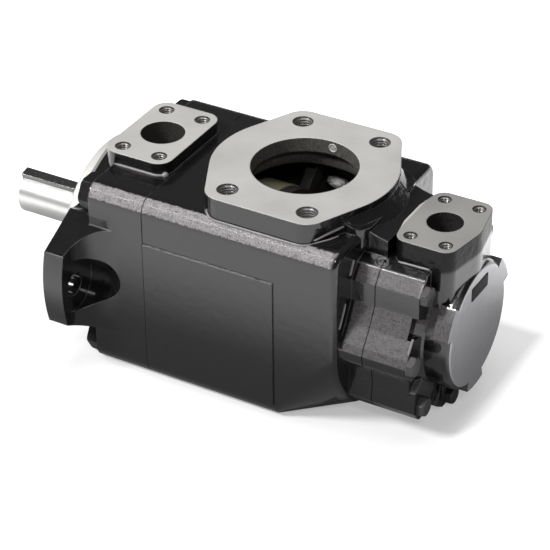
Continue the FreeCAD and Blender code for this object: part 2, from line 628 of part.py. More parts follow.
def roller_track(gap):
    """Span and radii of the channel that the rollers run in, between the ribs of both rings."""
    x = BEARING_X + BEARING_W / 2
    half = ROLLER_LENGTH / 2 + gap
    return x - half, x + half, roller_pitch_r() + ROLLER_R + RUN_GAP, roller_pitch_r() - ROLLER_R - RUN_GAP


def bearing_outer_ring():
    x0, x1, track_r, _ = roller_track(RUN_GAP)
    ring = ring_x(BEARING_X, BEARING_X + BEARING_W, BEARING_OUTER_R, track_r - RACE_RIB)
    return ring.cut(rod_x(x0, x1, track_r))


def bearing_inner_ring():
    x0, x1, _, track_r = roller_track(RUN_GAP)
    ring = ring_x(BEARING_X, BEARING_X + BEARING_W, track_r + RACE_RIB, BEARING_BORE_R + THREAD_GAP / 5)
    return ring.cut(ring_x(x0, x1, track_r + RACE_RIB + OVER, track_r))


def roller_places():
    return [on_circle(roller_pitch_r(), 360.0 * k / ROLLER_COUNT) for k in range(ROLLER_COUNT)]


def bearing_rollers():
    x0, x1, _, _ = roller_track(0.0)
    return Part.makeCompound([rod_x(x0, x1, ROLLER_R, y, z) for y, z in roller_places()])


def bearing_cage():
    """Drum with a window for each roller."""
    x0, x1, _, _ = roller_track(RUN_GAP)
    r = roller_pitch_r()
    cage = ring_x(x0 - CAGE_BAR, x1 + CAGE_BAR, r + CAGE_WALL, r - CAGE_WALL)
    return cut_all(cage, [rod_x(x0, x1, ROLLER_R + RUN_GAP, y, z) for y, z in roller_places()])


def open_ring(x, r_out, r_in):
    """Spring retaining ring with an open mouth at its foot."""
    ring = ring_x(x, x + RING_CLIP_T, r_out, r_in)
    return ring.cut(sector_x(x - OVER, x + RING_CLIP_T + OVER, r_out + OVER, r_in - OVER, -90, CLIP_MOUTH))


def bearing_retaining_ring():
    return open_ring(BEARING_X + BEARING_W, BEARING_OUTER_R + CLIP_DEPTH, BEARING_OUTER_R - CLIP_STAND)


def shaft_clip_x():
    return BEARING_X - RING_CLIP_T


def shaft_retaining_ring():
    r = BEARING_BORE_R
    return open_ring(shaft_clip_x(), r + CLIP_STAND, r - CLIP_DEPTH / 2 + THREAD_GAP)


# Rotating group

def splined_rod(x0, x1, r, gap):
    """Rod with straight-sided splines; gap grows it on every side."""
    width = math.pi * r / SPLINE_TEETH
    core = rod_x(x0, x1, r - SPLINE_DEPTH + gap)
    tooth = block(x0, x1, -width / 2 - gap, width / 2 + gap, 0, r + OVER)
    teeth = [turned(tooth, 360.0 * k / SPLINE_TEETH) for k in range(SPLINE_TEETH)]
    return core.multiFuse(teeth).common(rod_x(x0, x1, r + gap))


def key_block(x0, x1, gap):
    half = KEY_W / 2 + gap
    return turned(block(x0, x1, -half, half, KEY_TOP - KEY_W - gap, KEY_TOP), KEY_TURN)


def drive_shaft():
    seat_x = BEARING_X + BEARING_W
    journal_x = shaft_clip_x() - SHAFT_RELIEF
    p1_x0, p1_x1 = ring_span(P1)[0] - SPLINE_PAST, ring_span(P1)[1] + SPLINE_PAST
    p2_x0, p2_x1 = ring_span(P2)[0] - SPLINE_PAST, ring_span(P2)[1] + SPLINE_PAST
    nose = Part.makeCone(SHAFT_R - SHAFT_CHAMFER, SHAFT_R, SHAFT_CHAMFER, vec(SHAFT_END_X, 0, 0),
                         vec(1, 0, 0))
    parts = [rod_x(SHAFT_END_X + SHAFT_CHAMFER, journal_x, SHAFT_R),
             rod_x(journal_x - SEAL_JOURNAL_LENGTH, journal_x, SEAL_JOURNAL_R),
             rod_x(journal_x, seat_x, BEARING_BORE_R), rod_x(seat_x, seat_x + SHOULDER_W, SHOULDER_R),
             rod_x(seat_x, p1_x0, NECK_R), splined_rod(p1_x0, p1_x1, P1_SPLINE_R, 0.0),
             rod_x(p1_x1, p2_x0, WAIST_R), splined_rod(p2_x0, p2_x1, P2_SPLINE_R, 0.0),
             rod_x(p2_x1, SHAFT_REAR_X, REAR_JOURNAL_R)]
    groove = ring_x(shaft_clip_x(), BEARING_X, BEARING_BORE_R + OVER, BEARING_BORE_R - CLIP_DEPTH / 2)
    keyway = key_block(SHAFT_END_X - OVER, SHAFT_END_X + KEY_LENGTH, THREAD_GAP)
    return nose.multiFuse(parts).cut(groove).cut(keyway)


def shaft_key():
    return key_block(SHAFT_END_X, SHAFT_END_X + KEY_LENGTH - THREAD_GAP, 0.0)


def ring_span(c):
    """Start and end of a cartridge's cam ring along X: the front pump's plate lies ahead of its ring."""
    if c is P1:
        return c["x"] + c["plate"], c["x"] + c["plate"] + c["ring"]
    return c["x"] - c["plate"] - c["ring"], c["x"] - c["plate"]


def rotor(c):
    x0, x1 = ring_span(c)
    half = c["vane_t"] / 2 + SLOT_GAP
    slot = block(x0, x1, -half, half, c["rotor_r"] - c["slot_h"], c["rotor_r"] + OVER)
    root = rod_x(x0, x1, c["root_r"], 0, c["rotor_r"] - c["slot_h"])
    cuts = [turned(slot.fuse(root), 360.0 * k / VANE_COUNT - 90.0) for k in range(VANE_COUNT)]
    cuts.append(splined_rod(x0, x1, c["spline_r"], THREAD_GAP))
    return cut_all(rod_x(x0 + SIDE_GAP, x1 - SIDE_GAP, c["rotor_r"]), cuts)


def vane(c, index):
    """Flat vane with a rounded tip, drawn in against its slot's foot."""
    x0, x1 = ring_span(c)
    top = c["rotor_r"] - VANE_REST_GAP
    foot, half = top - c["vane_h"], c["vane_t"] / 2
    x = x0 + SIDE_GAP
    shoulder = top - VANE_TIP_DROP
    tip = Part.Arc(vec(x, half, shoulder), vec(x, 0, top), vec(x, -half, shoulder)).toShape()
    corners = [vec(x, -half, shoulder), vec(x, -half, foot), vec(x, half, foot), vec(x, half, shoulder)]
    lines = [Part.LineSegment(corners[k], corners[k + 1]).toShape() for k in range(3)]
    solid = prism(Part.Wire([tip] + lines), vec(x1 - x0 - 2 * SIDE_GAP, 0, 0))
    return turned(solid, 360.0 * index / VANE_COUNT - 90.0)


# Cartridges that stay still

def cam_radius(c, angle):
    """Two-lobed track: dwells at its largest along Y and at its smallest along Z, with ramps between."""
    from_lobe = abs((angle + 90.0) % 180.0 - 90.0)
    rise = min(max((from_lobe - CAM_DWELL) / (90.0 - 2 * CAM_DWELL), 0.0), 1.0)
    return c["cam_max"] - (c["cam_max"] - c["cam_min"]) * rise * rise * (3 - 2 * rise)


def cam_hole(c, x0, x1):
    """Hole with the cam track's outline: four dwell arcs joined by four smooth ramps."""

    def at(angle):
        return vec(x0, *on_circle(cam_radius(c, angle), angle))

    def along(angle):
        return vec(0, *on_circle(1.0, angle + 90.0))

    edges = []
    for middle in (0, 90, 180, 270):
        start, end = middle + CAM_DWELL, middle + 90 - CAM_DWELL
        edges.append(Part.Arc(at(middle - CAM_DWELL), at(middle), at(start)).toShape())
        ramp = Part.BSplineCurve()
        points = [at(start + (end - start) * k / CAM_STEPS) for k in range(CAM_STEPS + 1)]
        ramp.interpolate(Points=points, InitialTangent=along(start), FinalTangent=along(end))
        edges.append(ramp.toShape())
    return prism(Part.Wire(edges), vec(x1 - x0, 0, 0))


def screw_pitch_r(c):
    return c["outer_r"] - c["screw_land"]


def plate_holes(c, x0, x1, r, angle):
    return [rod_x(x0, x1, r, *on_circle(screw_pitch_r(c), angle + turn)) for turn in (0, 180)]


def kidneys(x0, x1, r_in, r_out, angle):
    """Two opposite ring-sector openings centred on an angle."""
    return [sector_x(x0, x1, r_out, r_in, angle + turn, KIDNEY_HALF) for turn in (0, 180)]


def cam_ring(c):
    x0, x1 = ring_span(c)
    cuts = [cam_hole(c, x0 - OVER, x1 + OVER)]
    cuts += plate_holes(c, x0 - OVER, x1 + OVER, c["screw_r"] + HOLE_GAP / 2, SCREW_ANGLE)
    cuts += plate_holes(c, x0 - OVER, x1 + OVER, c["pin_r"] + SEAT_GAP, PIN_ANGLE)
    return cut_all(rod_x(x0, x1, c["outer_r"]), cuts)


def outward(c, x, depth):
    """X span from a ring's side face x into the plate beside it on the pressure side."""
    return (x - depth, x + OVER) if c is P1 else (x - OVER, x + depth)


def pressure_plate(c):
    """Plate on the discharge side: a hub with a seal seats in the cap, two kidneys let the oil out."""
    x0, x1 = ring_span(c)
    side = -1 if c is P1 else 1
    face = x0 if c is P1 else x1
    back = face + side * c["plate"]
    tip = back + side * c["hub"]
    groove = back + side * c["hub"] / 2
    disc = rod_x(min(face, back), max(face, back), c["outer_r"])
    hub = rod_x(min(back, tip), max(back, tip), c["hub_r"])
    low, high = min(face, tip) - OVER, max(face, tip) + OVER
    cuts = [rod_x(low, high, c["bore_r"] if c is P1 else REAR_JOURNAL_R + OIL_GROOVE),
            rod_x(*outward(c, face, SPLINE_PAST), c["bore_r"]),
            ring_x(groove - GROOVE_W / 2, groove + GROOVE_W / 2, c["hub_r"] + OVER,
                   c["hub_r"] - GROOVE_DEPTH)]
    cuts += kidneys(low, high, c["rotor_r"] + OVER, c["kidney_out"], 45)
    cuts += plate_holes(c, *outward(c, face, SCREW_TIP + HOLE_END_GAP), c["screw_r"] + THREAD_GAP,
                        SCREW_ANGLE)
    cuts += plate_holes(c, *outward(c, face, PIN_BLIND + THREAD_GAP), c["pin_r"] + SEAT_GAP, PIN_ANGLE)
    return cut_all(disc.fuse(hub), cuts)


def plate_seal(c):
    x0, x1 = ring_span(c)
    side = -1 if c is P1 else 1
    back = (x0 if c is P1 else x1) + side * c["plate"]
    return cord_ring(back + side * c["hub"] / 2, c["hub_r"] - GROOVE_DEPTH / 2)


def port_plate(c):
    """Plate on the suction side: two openings lead from its rim to the vanes."""
    x0, x1 = ring_span(c)
    side = 1 if c is P1 else -1
    face = x1 if c is P1 else x0
    back = face + side * c["port_plate"]
    low, high = min(face, back), max(face, back)
    head_end = back - side * (c["screw_head"] + THREAD_GAP)
    pocket = face + side * c["port_plate"] / 2
    cuts = [rod_x(low - OVER, high + OVER, c["bore_r"])]
    cuts += kidneys(min(face, pocket), max(face, pocket), c["rotor_r"] + OVER, c["outer_r"] + OVER, 135)
    cuts += plate_holes(c, low - OVER, high + OVER, c["screw_r"] + HOLE_GAP / 2, SCREW_ANGLE)
    cuts += plate_holes(c, min(head_end, back), max(head_end, back) + (OVER if side > 0 else 0),
                        c["screw_head_r"] + HOLE_GAP / 2, SCREW_ANGLE)
    pin_end = face + side * (PIN_BLIND + THREAD_GAP)
    cuts += plate_holes(c, min(face, pin_end), max(face, pin_end), c["pin_r"] + SEAT_GAP, PIN_ANGLE)
    return cut_all(rod_x(low, high, c["outer_r"]), cuts)


def dowel_pins(c):
    x0, x1 = ring_span(c)
    return Part.makeCompound(plate_holes(c, x0 - PIN_BLIND, x1 + PIN_BLIND, c["pin_r"], PIN_ANGLE))


def cartridge_screws(c):
    """Socket head screws that hold plates and ring together."""
    x0, x1 = ring_span(c)
    side = 1 if c is P1 else -1
    back = (x1 if c is P1 else x0) + side * c["port_plate"]
    seat = back - side * c["screw_head"]
    tip = (x0 if c is P1 else x1) - side * SCREW_TIP
    socket_r = c["screw_r"]
    screws = []
    for turn in (0, 180):
        y, z = on_circle(screw_pitch_r(c), SCREW_ANGLE + turn)
        head = rod_x(min(seat, back), max(seat, back), c["screw_head_r"], y, z)
        points = [(y + dy, z + dz, 0) for dy, dz in (on_circle(socket_r, 60 * k) for k in range(6))]
        socket = prism(rounded_wire(points, in_yz(back)), vec(-side * c["screw_head"] / 2, 0, 0))
        screws.append(head.fuse(rod_x(min(seat, tip), max(seat, tip), c["screw_r"], y, z)).cut(socket))
    return Part.makeCompound(screws)


def rear_bush():
    return ring_x(REAR_BUSH_X, REAR_BUSH_X + REAR_BUSH_W, REAR_BUSH_R, REAR_JOURNAL_R + RUN_GAP)


def all_nodes():
    nodes = {"front_cap": front_cap(), "centre_housing": centre_housing(), "rear_cap": rear_cap(),
             "front_cap_bolts": front_cap_bolts(), "rear_cap_bolts": rear_cap_bolts(),
             "front_joint_o_ring": front_joint_o_ring(), "rear_joint_o_ring": rear_joint_o_ring(),
             "shaft_seal": shaft_seal(), "seal_garter_spring": seal_garter_spring(),
             "bearing_outer_ring": bearing_outer_ring(), "bearing_inner_ring": bearing_inner_ring(),
             "bearing_rollers": bearing_rollers(), "bearing_cage": bearing_cage(),
             "bearing_retaining_ring": bearing_retaining_ring(),
             "shaft_retaining_ring": shaft_retaining_ring(),
             "drive_shaft": drive_shaft(), "shaft_key": shaft_key(), "rear_bush": rear_bush()}
    for name, c in (("p1", P1), ("p2", P2)):
        nodes[name + "_cam_ring"] = cam_ring(c)
        nodes[name + "_pressure_plate"] = pressure_plate(c)
        nodes[name + "_port_plate"] = port_plate(c)
        nodes[name + "_plate_seal"] = plate_seal(c)
        nodes[name + "_dowel_pins"] = dowel_pins(c)
        nodes[name + "_cartridge_screws"] = cartridge_screws(c)
        nodes[name + "_rotor"] = rotor(c)
        for k in range(VANE_COUNT):
            nodes["%s_vane_%02d" % (name, k + 1)] = vane(c, k)
    return nodes


os.makedirs("parts", exist_ok=True)
for node, shape in all_nodes().items():
    shape.exportStep("parts/%s.step" % node)
    print("%-26s solids %d volume %.1f valid %s" % (node, len(shape.Solids), shape.Volume, shape.isValid()))
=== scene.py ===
"""Finishes, small cast and threaded detail, stage and camera for a double vane pump.

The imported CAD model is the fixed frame: X runs along the shaft from its drive end, Z is up, and the
origin is the centre of the mounting flange's face. Lengths in the sheets below are in millimetres.
"""

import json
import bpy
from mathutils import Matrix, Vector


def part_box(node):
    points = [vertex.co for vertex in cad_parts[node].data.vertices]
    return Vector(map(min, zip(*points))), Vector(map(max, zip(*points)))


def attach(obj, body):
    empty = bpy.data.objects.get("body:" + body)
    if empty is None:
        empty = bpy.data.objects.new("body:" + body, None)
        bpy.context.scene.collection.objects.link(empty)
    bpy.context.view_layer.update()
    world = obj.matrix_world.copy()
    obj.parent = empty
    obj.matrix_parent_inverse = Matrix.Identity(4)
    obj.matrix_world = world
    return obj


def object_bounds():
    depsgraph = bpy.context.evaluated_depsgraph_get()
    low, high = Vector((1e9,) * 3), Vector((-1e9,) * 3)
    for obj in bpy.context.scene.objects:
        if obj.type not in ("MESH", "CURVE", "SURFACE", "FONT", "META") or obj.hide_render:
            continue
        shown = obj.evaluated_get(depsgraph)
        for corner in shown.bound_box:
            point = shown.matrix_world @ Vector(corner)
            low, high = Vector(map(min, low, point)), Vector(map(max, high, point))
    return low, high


bl_info = {
    "name": "Double Vane Pump",
    "version": (1, 0, 0),
    "blender": (4, 5, 0),
    "location": "View3D > Sidebar > Vane Pump",
    "description": "Dresses the packed double vane pump with its finishes and small detail",
    "category": "Object",
}

import bmesh
import bpy
import numpy as np
from bpy.props import FloatProperty, FloatVectorProperty, PointerProperty
from mathutils import Matrix, Vector

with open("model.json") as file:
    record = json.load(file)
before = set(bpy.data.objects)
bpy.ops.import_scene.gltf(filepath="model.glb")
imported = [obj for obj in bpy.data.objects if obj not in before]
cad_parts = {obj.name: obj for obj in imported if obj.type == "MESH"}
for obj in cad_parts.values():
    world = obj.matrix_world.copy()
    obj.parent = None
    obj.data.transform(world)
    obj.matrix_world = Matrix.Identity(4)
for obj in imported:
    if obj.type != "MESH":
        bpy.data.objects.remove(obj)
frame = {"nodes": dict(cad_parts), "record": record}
CAD_BOX = [list(corner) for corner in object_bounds()]
MOUNTS = {mount["name"]: mount for mount in frame["record"]["mounts"]}
MM = 0.001


def in_mm(place):
    return np.array(place) / MM


def low_mm(node):
    return in_mm(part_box(node)[0])


def high_mm(node):
    return in_mm(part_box(node)[1])


FRONT_JOINT_X = low_mm("centre_housing")[0]
REAR_JOINT_X = high_mm("centre_housing")[0]
REAR_FACE_X = high_mm("rear_cap")[0]
PORTS = ("suction_port", "p1_port", "p2_port")
PORT_Z = {port: MOUNTS[port + "_face"]["pos_m"][2] / MM for port in PORTS}
PORT_PLACE = {port: in_mm(MOUNTS[port]["pos_m"]) for port in PORTS}
PORT_R = {port: MOUNTS[port]["dims"]["r_mm"] for port in PORTS}
TAPPED = {port: MOUNTS[port + "_threads"]["dims"] for port in PORTS}

# Just short of a face, to tell it from what lies behind it
REAR_DISC_X = REAR_FACE_X - 0.4
UNDER_FACE = 0.3

# Sizes of the castings' noises, and how far the grinding lines are drawn out
PATCH_MM = 11.0
FRAY_MM = 2.2
CLOUD_MM = 48.0
LINE_STRETCH = (28.0, 1.0, 1.0)

# Roughness of paint and of cut iron, each with what its noise adds, and what sand adds to either
PAINT_ROUGHNESS = (0.16, 0.12)
IRON_ROUGHNESS = (0.42, 0.16)
SAND_ROUGHNESS = 0.35
COAT = 0.7

# Where the paint changes over the castings: each pair is where a share begins and where it is full. The band
# and drum limits bound the sand with its painted highlight, and the neck limits bound the painted shade on
# the rear outlet's neck.
BAND_FRONT_X = (20.5, 22.0)
BAND_REAR_X = (215.0, 211.0)
BAND_SIDE = (60.0, 63.0)
BAND_Z = (58.0, 61.0)
DRUM_X = (REAR_JOINT_X - 16.0, REAR_JOINT_X - 14.0)
DRUM_SIDE = (20.0, 38.0)
NECK_X = REAR_JOINT_X + 2.0
NECK_Z = (58.0, 62.0)
THICK_X = (190.0, 198.0)
THICK_Z = (54.0, 64.0)

# Limits of the cored chamber and of the throat above it
CHAMBER_X = (70.0, 212.0)
CHAMBER_HALF_Y = 63.0
CHAMBER_HALF_Z = 57.0
THROAT_R = 46.0
# Heights over which the chamber's painted shade lifts: strongest below the first, gone above the second
CHAMBER_SHADE_Z = (62.0, 74.0)

# The pilot's worn rim: its end in X, its two radii, and how bare it is
RIM_X = 2.4
RIM_R = (71.6, 72.8)
RIM_SHARE = 0.42

# Tapped holes: pitch and depth
THREADS = {"suction_port": (2.0, 24.0), "p1_port": (1.6, 20.0), "p2_port": (1.4, 16.0)}

# Small castings
PLATE_PLACE = (REAR_FACE_X, 0.4, 31.8)
BUTTON_PLACE = (234.2, -39.6, 57.6)
BUTTON_OUTWARD = (0.0, -0.23, 0.97)
PLUG_PLACE = (154.4, PORT_R["suction_port"] - 0.1, 84.4)
PLUG_PROFILE = [(3.4, -0.8), (3.4, 0.2), (3.0, 0.5), (2.5, 0.5), (2.2, 0.1), (1.6, 0.1), (1.2, 0.3)]
LUMP_PLACE = (147.0, 59.5, 43.0)
LUMP_RADII = (8.5, 4.5, 5.0)
LUMP_WAVES = ((3, 0.4), (5, 1.9), (9, 0.7))
LUMP_HEIGHT = 0.09

# Pale beads of each casting, painted highlights at the feet of the pads and the ends of the drum's slopes:
# share of the bead's radius, and the path
BEADS = {
    "front": [
        (1.3, [(21.0, -40.7, 74.8), (56.0, -40.7, 74.8), (60.5, -38.3, 74.9), (62.6, -34.5, 75.0)]),
    ],
    "centre": [
        (1.0, [(112.4, -65.8, 79.0), (112.6, -66.2, 75.4), (115.5, -68.4, 73.9), (119.5, -69.4, 73.1),
               (186.0, -69.3, 73.1), (191.0, -68.2, 73.6), (194.2, -65.4, 74.6)]),
        (1.0, [(194.8, -64.3, 76.6), (199.6, -56.5, 78.3), (206.3, -42.5, 79.6)]),
        (0.7, [(195.4, -64.6, 74.9), (202.0, -56.0, 75.0), (205.5, -48.5, 75.0)]),
        (1.2, [(217.6, -49.8, 60.6), (217.6, -51.4, 57.6), (217.6, -55.2, 50.5)]),
        (1.0, [(217.6, -61.0, 31.6), (217.6, -67.2, 20.2), (217.6, -70.0, 15.4)]),
    ],
    "rear": [
        (1.0, [(243.5, -35.8, 59.2), (268.0, -35.9, 60.0)]),
        (1.0, [(268.0, -40.5, 57.2), (268.2, -47.2, 53.2), (268.2, -52.6, 46.6)]),
        (1.0, [(267.8, -58.8, 18.2), (267.8, -62.4, 13.6), (267.8, -66.0, 8.6)]),
    ],
}
# A pale drip at the first pad's foot, coloured as a painted highlight like the beads
DRIP_PLACE = (61.4, -37.0, 74.9)
DRIP_OUTWARD = (0.5, -0.7, 0.5)
DRIP_PROFILE = [(2.3, -1.2), (2.3, 0.4), (1.6, 1.5), (0.5, 2.0)]

# Lights: direction towards the light, and its width in degrees
KEY_SUN = ((-0.41, -0.53, 0.70), 15.0)
RIM_SUN = ((0.43, -0.55, 0.72), 9.0)
TOP_LAMP_M = (0.15, 0.0, 2.4)
TOP_LAMP_SIZE_M = 1.6
FLOOR_HALF_M = 4.0


def hole_places(port):
    """X and Y of a port's four tapped holes, in millimetres."""
    x, y, _ = in_mm(MOUNTS[port + "_threads"]["pos_m"])
    dx, dy = TAPPED[port]["spacing_x_mm"] / 2, TAPPED[port]["spacing_y_mm"] / 2
    return [(x + i * dx, y + j * dy) for i in (-1, 1) for j in (-1, 1)]


# Settings

def positive(name, text, default):
    return FloatProperty(name=name, description=text, default=default, min=0.0)


def fraction(name, text, default):
    return FloatProperty(name=name, description=text, default=default, min=0.0, max=1.0, subtype="FACTOR")


def angle(name, text, degrees):
    return FloatProperty(name=name, description=text, default=np.radians(degrees), subtype="ANGLE")


def colour(name, text, default):
    return FloatVectorProperty(name=name, description=text, default=default, size=3, min=0.0, max=1.0,
                               subtype="COLOR")


class PumpPaint(bpy.types.PropertyGroup):
    """Black paint over the castings."""
    black: colour("Paint", "Colour of the paint where it lies thick", (0.0072, 0.0068, 0.0070))
    # The sand's pale colour stands for the key light's painted highlight on the rough slopes.
    skin: colour("Sand highlight", "Colour of the sand and its painted highlight on the up-facing slopes", (0.44, 0.415, 0.42))
    core: colour("Cored skin", "Colour of the unpainted skin inside the ports", (0.15, 0.142, 0.13))
    # The rear face's pale grey stands for a painted reflection.
    rear_face_reflection: colour("Rear face reflection", "Colour of the painted reflection on the smooth rear face", (0.34, 0.34, 0.36))
    edge_mm: positive("Edge radius, mm", "How far the cast edges are rounded", 1.5)
    grain_mm: positive("Sand grain, mm", "Size of the sand grains in the cast skin", 0.65)
    grain_height_mm: positive("Grain height, mm", "Height of the sand grains", 0.5)
    swell_mm: positive("Swell, mm", "Size of the paint's slow waves", 7.0)
    body_sand_highlight: fraction("Sand highlight on the body", "How much sand and painted highlight show on the body's long edges", 0.95)
    drum_sand_highlight: fraction("Sand highlight on the drum", "How much sand and painted highlight show on the rear drum's slopes", 0.27)
    gap_mm: positive("Joint line, mm", "Half the width of the dark line between two castings", 0.4)


class PumpMetal(bpy.types.PropertyGroup):
    """Bare metal of the machined faces, the shaft and the inner pieces."""
    iron: colour("Cut iron", "Machined cast iron", (0.68, 0.67, 0.645))
    steel: colour("Steel", "Ground steel", (0.62, 0.62, 0.61))
    bronze: colour("Bronze", "Side plates and bush", (0.46, 0.43, 0.28))
    brass: colour("Brass", "Roller cage", (0.58, 0.43, 0.17))
    oxide: colour("Oxide", "Blackened screws and bolts", (0.04, 0.038, 0.038))
    rubber: colour("Rubber", "Shaft seal and seal rings", (0.012, 0.012, 0.012))
    line_mm: positive("Grinding line, mm", "Width of one grinding mark", 0.22)


class PumpDetail(bpy.types.PropertyGroup):
    """Threads and the small cast pieces."""
    thread_depth_mm: positive("Thread depth, mm", "Height of the thread inside a tapped hole", 0.6)
    thread_share: fraction("Thread length", "Share of a hole's depth that is threaded", 0.8)
    thread_start_mm: positive("Thread start, mm", "How far below the face a thread begins", 0.9)
    plate_y_mm: positive("Plate width, mm", "Width of the blank plate on the rear face", 25.2)
    plate_z_mm: positive("Plate height, mm", "Height of the blank plate on the rear face", 10.4)
    plate_t_mm: positive("Plate thickness, mm", "Thickness of the blank plate", 0.4)
    button_r_mm: positive("Button radius, mm", "Radius of the round cast button beside the rear joint", 5.4)
    bead_mm: positive("Bead radius, mm", "Radius of the pale beads, a painted highlight, at the feet of the pads", 0.8)
    chamfer_shade_mm: positive("Chamfer shade, mm", "Width of the dark ring painted round each tapped hole as its chamfer's shade", 0.7)


class PumpStage(bpy.types.PropertyGroup):
    """Floor, lamps and camera."""
    floor: colour("Floor", "Colour of the floor", (0.66, 0.66, 0.66))
    sky: positive("Sky", "Strength of the even light", 0.12)
    key: positive("Key", "Strength of the key light", 2.7)
    rim: positive("Rim", "Strength of the small light on the rear side", 0.5)
    top: positive("Top, W", "Power of the lamp overhead", 24.0)
    glow: fraction("Glow", "How much the floor shines where it is seen away from the pump", 1.0)
    glow_mm: positive("Glow distance, mm", "How far from the pump its paint mirrors the full shine", 122.0)
    white_mm: positive("White distance, mm", "How far from the pump the floor looks white", 28.0)
    azimuth: angle("Azimuth", "Camera's turn round the pump from its near side", 29.817)
    elevation: angle("Elevation", "Camera's height as an angle", 33.488)
    roll: angle("Roll", "Camera's turn about its own line of sight", -0.556)
    distance_mm: positive("Distance, mm", "From the camera to the point it aims at", 1554.84)
    aim_mm: FloatVectorProperty(name="Aim, mm", description="Point that the camera aims at", size=3,
                                default=(154.839, -46.876, 26.513))
    lens_mm: positive("Lens, mm", "Focal length on a 36 mm wide sensor", 147.065)


# Surfaces

def ring_angles(steps):
    return np.linspace(0.0, 2 * np.pi, steps, endpoint=False)


def grid(points, wrap_rows=False, capped=False):
    """Corners, quads and end caps of a grid of points whose columns run round a closed ring."""
    rows, columns = points.shape[:2]
    a, b = np.meshgrid(np.arange(rows if wrap_rows else rows - 1), np.arange(columns), indexing="ij")
    below, right = (a + 1) % rows, (b + 1) % columns
    quads = np.stack([a * columns + b, below * columns + b, below * columns + right, a * columns + right], -1)
    ends = np.array([np.arange(columns)[::-1], np.arange(columns) + (rows - 1) * columns])
    return points.reshape(-1, 3), quads.reshape(-1, 4), ends if capped else ends[:0]


def piece(name, patches, material, crease_deg=35.0):
    """One object of several closed grids, placed in the frame, shaded smooth up to the crease angle."""
    starts = np.cumsum([0] + [len(points) for points, _, _ in patches[:-1]])
    corners = np.concatenate([points for points, _, _ in patches]) * MM
    faces = [face for (_, quads, ends), start in zip(patches, starts)
             for face in (quads + start).tolist() + (ends + start).tolist()]
    mesh = bpy.data.meshes.new(name)
    mesh.from_pydata(corners.tolist(), [], faces)
    shape = bmesh.new()
    shape.from_mesh(mesh)
    bmesh.ops.recalc_face_normals(shape, faces=shape.faces)
    shape.to_mesh(mesh)
    shape.free()
    mesh.shade_smooth()
    mesh.set_sharp_from_angle(angle=np.radians(crease_deg))
    mesh.materials.append(bpy.data.materials[material])
    thing = bpy.data.objects.new(name, mesh)
    bpy.context.scene.collection.objects.link(thing)
    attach(thing, "housing")
    return thing


def thread_sleeve(x, y, face_z, radius, start, depth, pitch, tooth):
    """Thin sleeve inside a tapped hole. Going down its inner wall the radius falls by a triangle wave of
    height, plus the turn round the hole as a share of one pitch, so the crests climb as a helix; the outer
    wall is straight, and both ends run out to it."""
    clear = 0.02
    turn = ring_angles(40)
    steps = int(depth / pitch * 6)
    z = np.linspace(-start, -start - depth, steps)
    wave = np.abs(((z[:, None] / pitch + turn[None, :] / (2 * np.pi)) % 1.0) * 2 - 1)
    fade = np.clip(np.minimum(-start - z, z + start + depth) / pitch * 2, 0, 1)[:, None]
    inner = radius - 2 * clear - tooth * wave * fade
    r = np.concatenate([inner, np.full((2, len(turn)), radius - clear)])
    height = np.concatenate([z, [z[-1], z[0]]])[:, None] + face_z
    points = np.stack([x + r * np.cos(turn), y + r * np.sin(turn), np.broadcast_to(height, r.shape)], -1)
    return grid(points, wrap_rows=True)


def plate(centre, half_w, half_h, thickness, corner=0.2, power=24.0):
    """Closed plate that faces +X: its outline is a superellipse of the given power, and its face rises from
    the outline by a quarter turn of radius corner. Its back is sunk half a millimetre."""
    turn = ring_angles(96)
    c, s = np.cos(turn), np.sin(turn)
    reach = (np.abs(c) ** power + np.abs(s) ** power) ** (-1 / power)
    arc = np.linspace(0, np.pi / 2, 5)
    inset = np.concatenate([[0.0], corner * (1 - np.cos(arc))])
    rise = np.concatenate([[-0.5], thickness - corner + corner * np.sin(arc)])
    u = (half_w - inset)[:, None] * (reach * c)[None, :]
    v = (half_h - inset)[:, None] * (reach * s)[None, :]
    x = np.broadcast_to(rise[:, None], u.shape)
    return grid(np.array(centre) + np.stack([x, u, v], -1), capped=True)


def turned(centre, outward, profile):
    """Closed solid of revolution round the outward direction: each row of the profile gives a radius and
    a height above the centre, and the ring at that radius has 48 corners."""
    centre, outward = np.array(centre), np.array(outward) / np.linalg.norm(outward)
    across = np.cross(outward, (1.0, 0.0, 0.0))
    across = across / np.linalg.norm(across)
    around = np.cross(outward, across)
    turn = ring_angles(48)[None, :, None]
    r, h = np.array(profile).T[:, :, None, None]
    return grid(centre + r * (np.cos(turn) * across + np.sin(turn) * around) + h * outward, capped=True)


def lump(centre, radii, waves, height):
    """Closed rough lump: an ellipsoid whose radius grows and shrinks by three sine waves over its turn and
    its tilt, which fade out towards both poles."""
    turn, tilt = ring_angles(64)[None, :], np.linspace(0.02, np.pi - 0.02, 40)[:, None]
    ripple = sum(np.sin(k * turn + phase) * np.sin((k + 2) * tilt + 2 * phase) for k, phase in waves)
    r = 1 + height * ripple * np.sin(tilt)
    ball = np.stack([r * np.sin(tilt) * np.cos(turn), r * np.sin(tilt) * np.sin(turn),
                     np.cos(tilt) + 0 * turn], -1)
    return grid(np.array(centre) + ball * np.array(radii), capped=True)


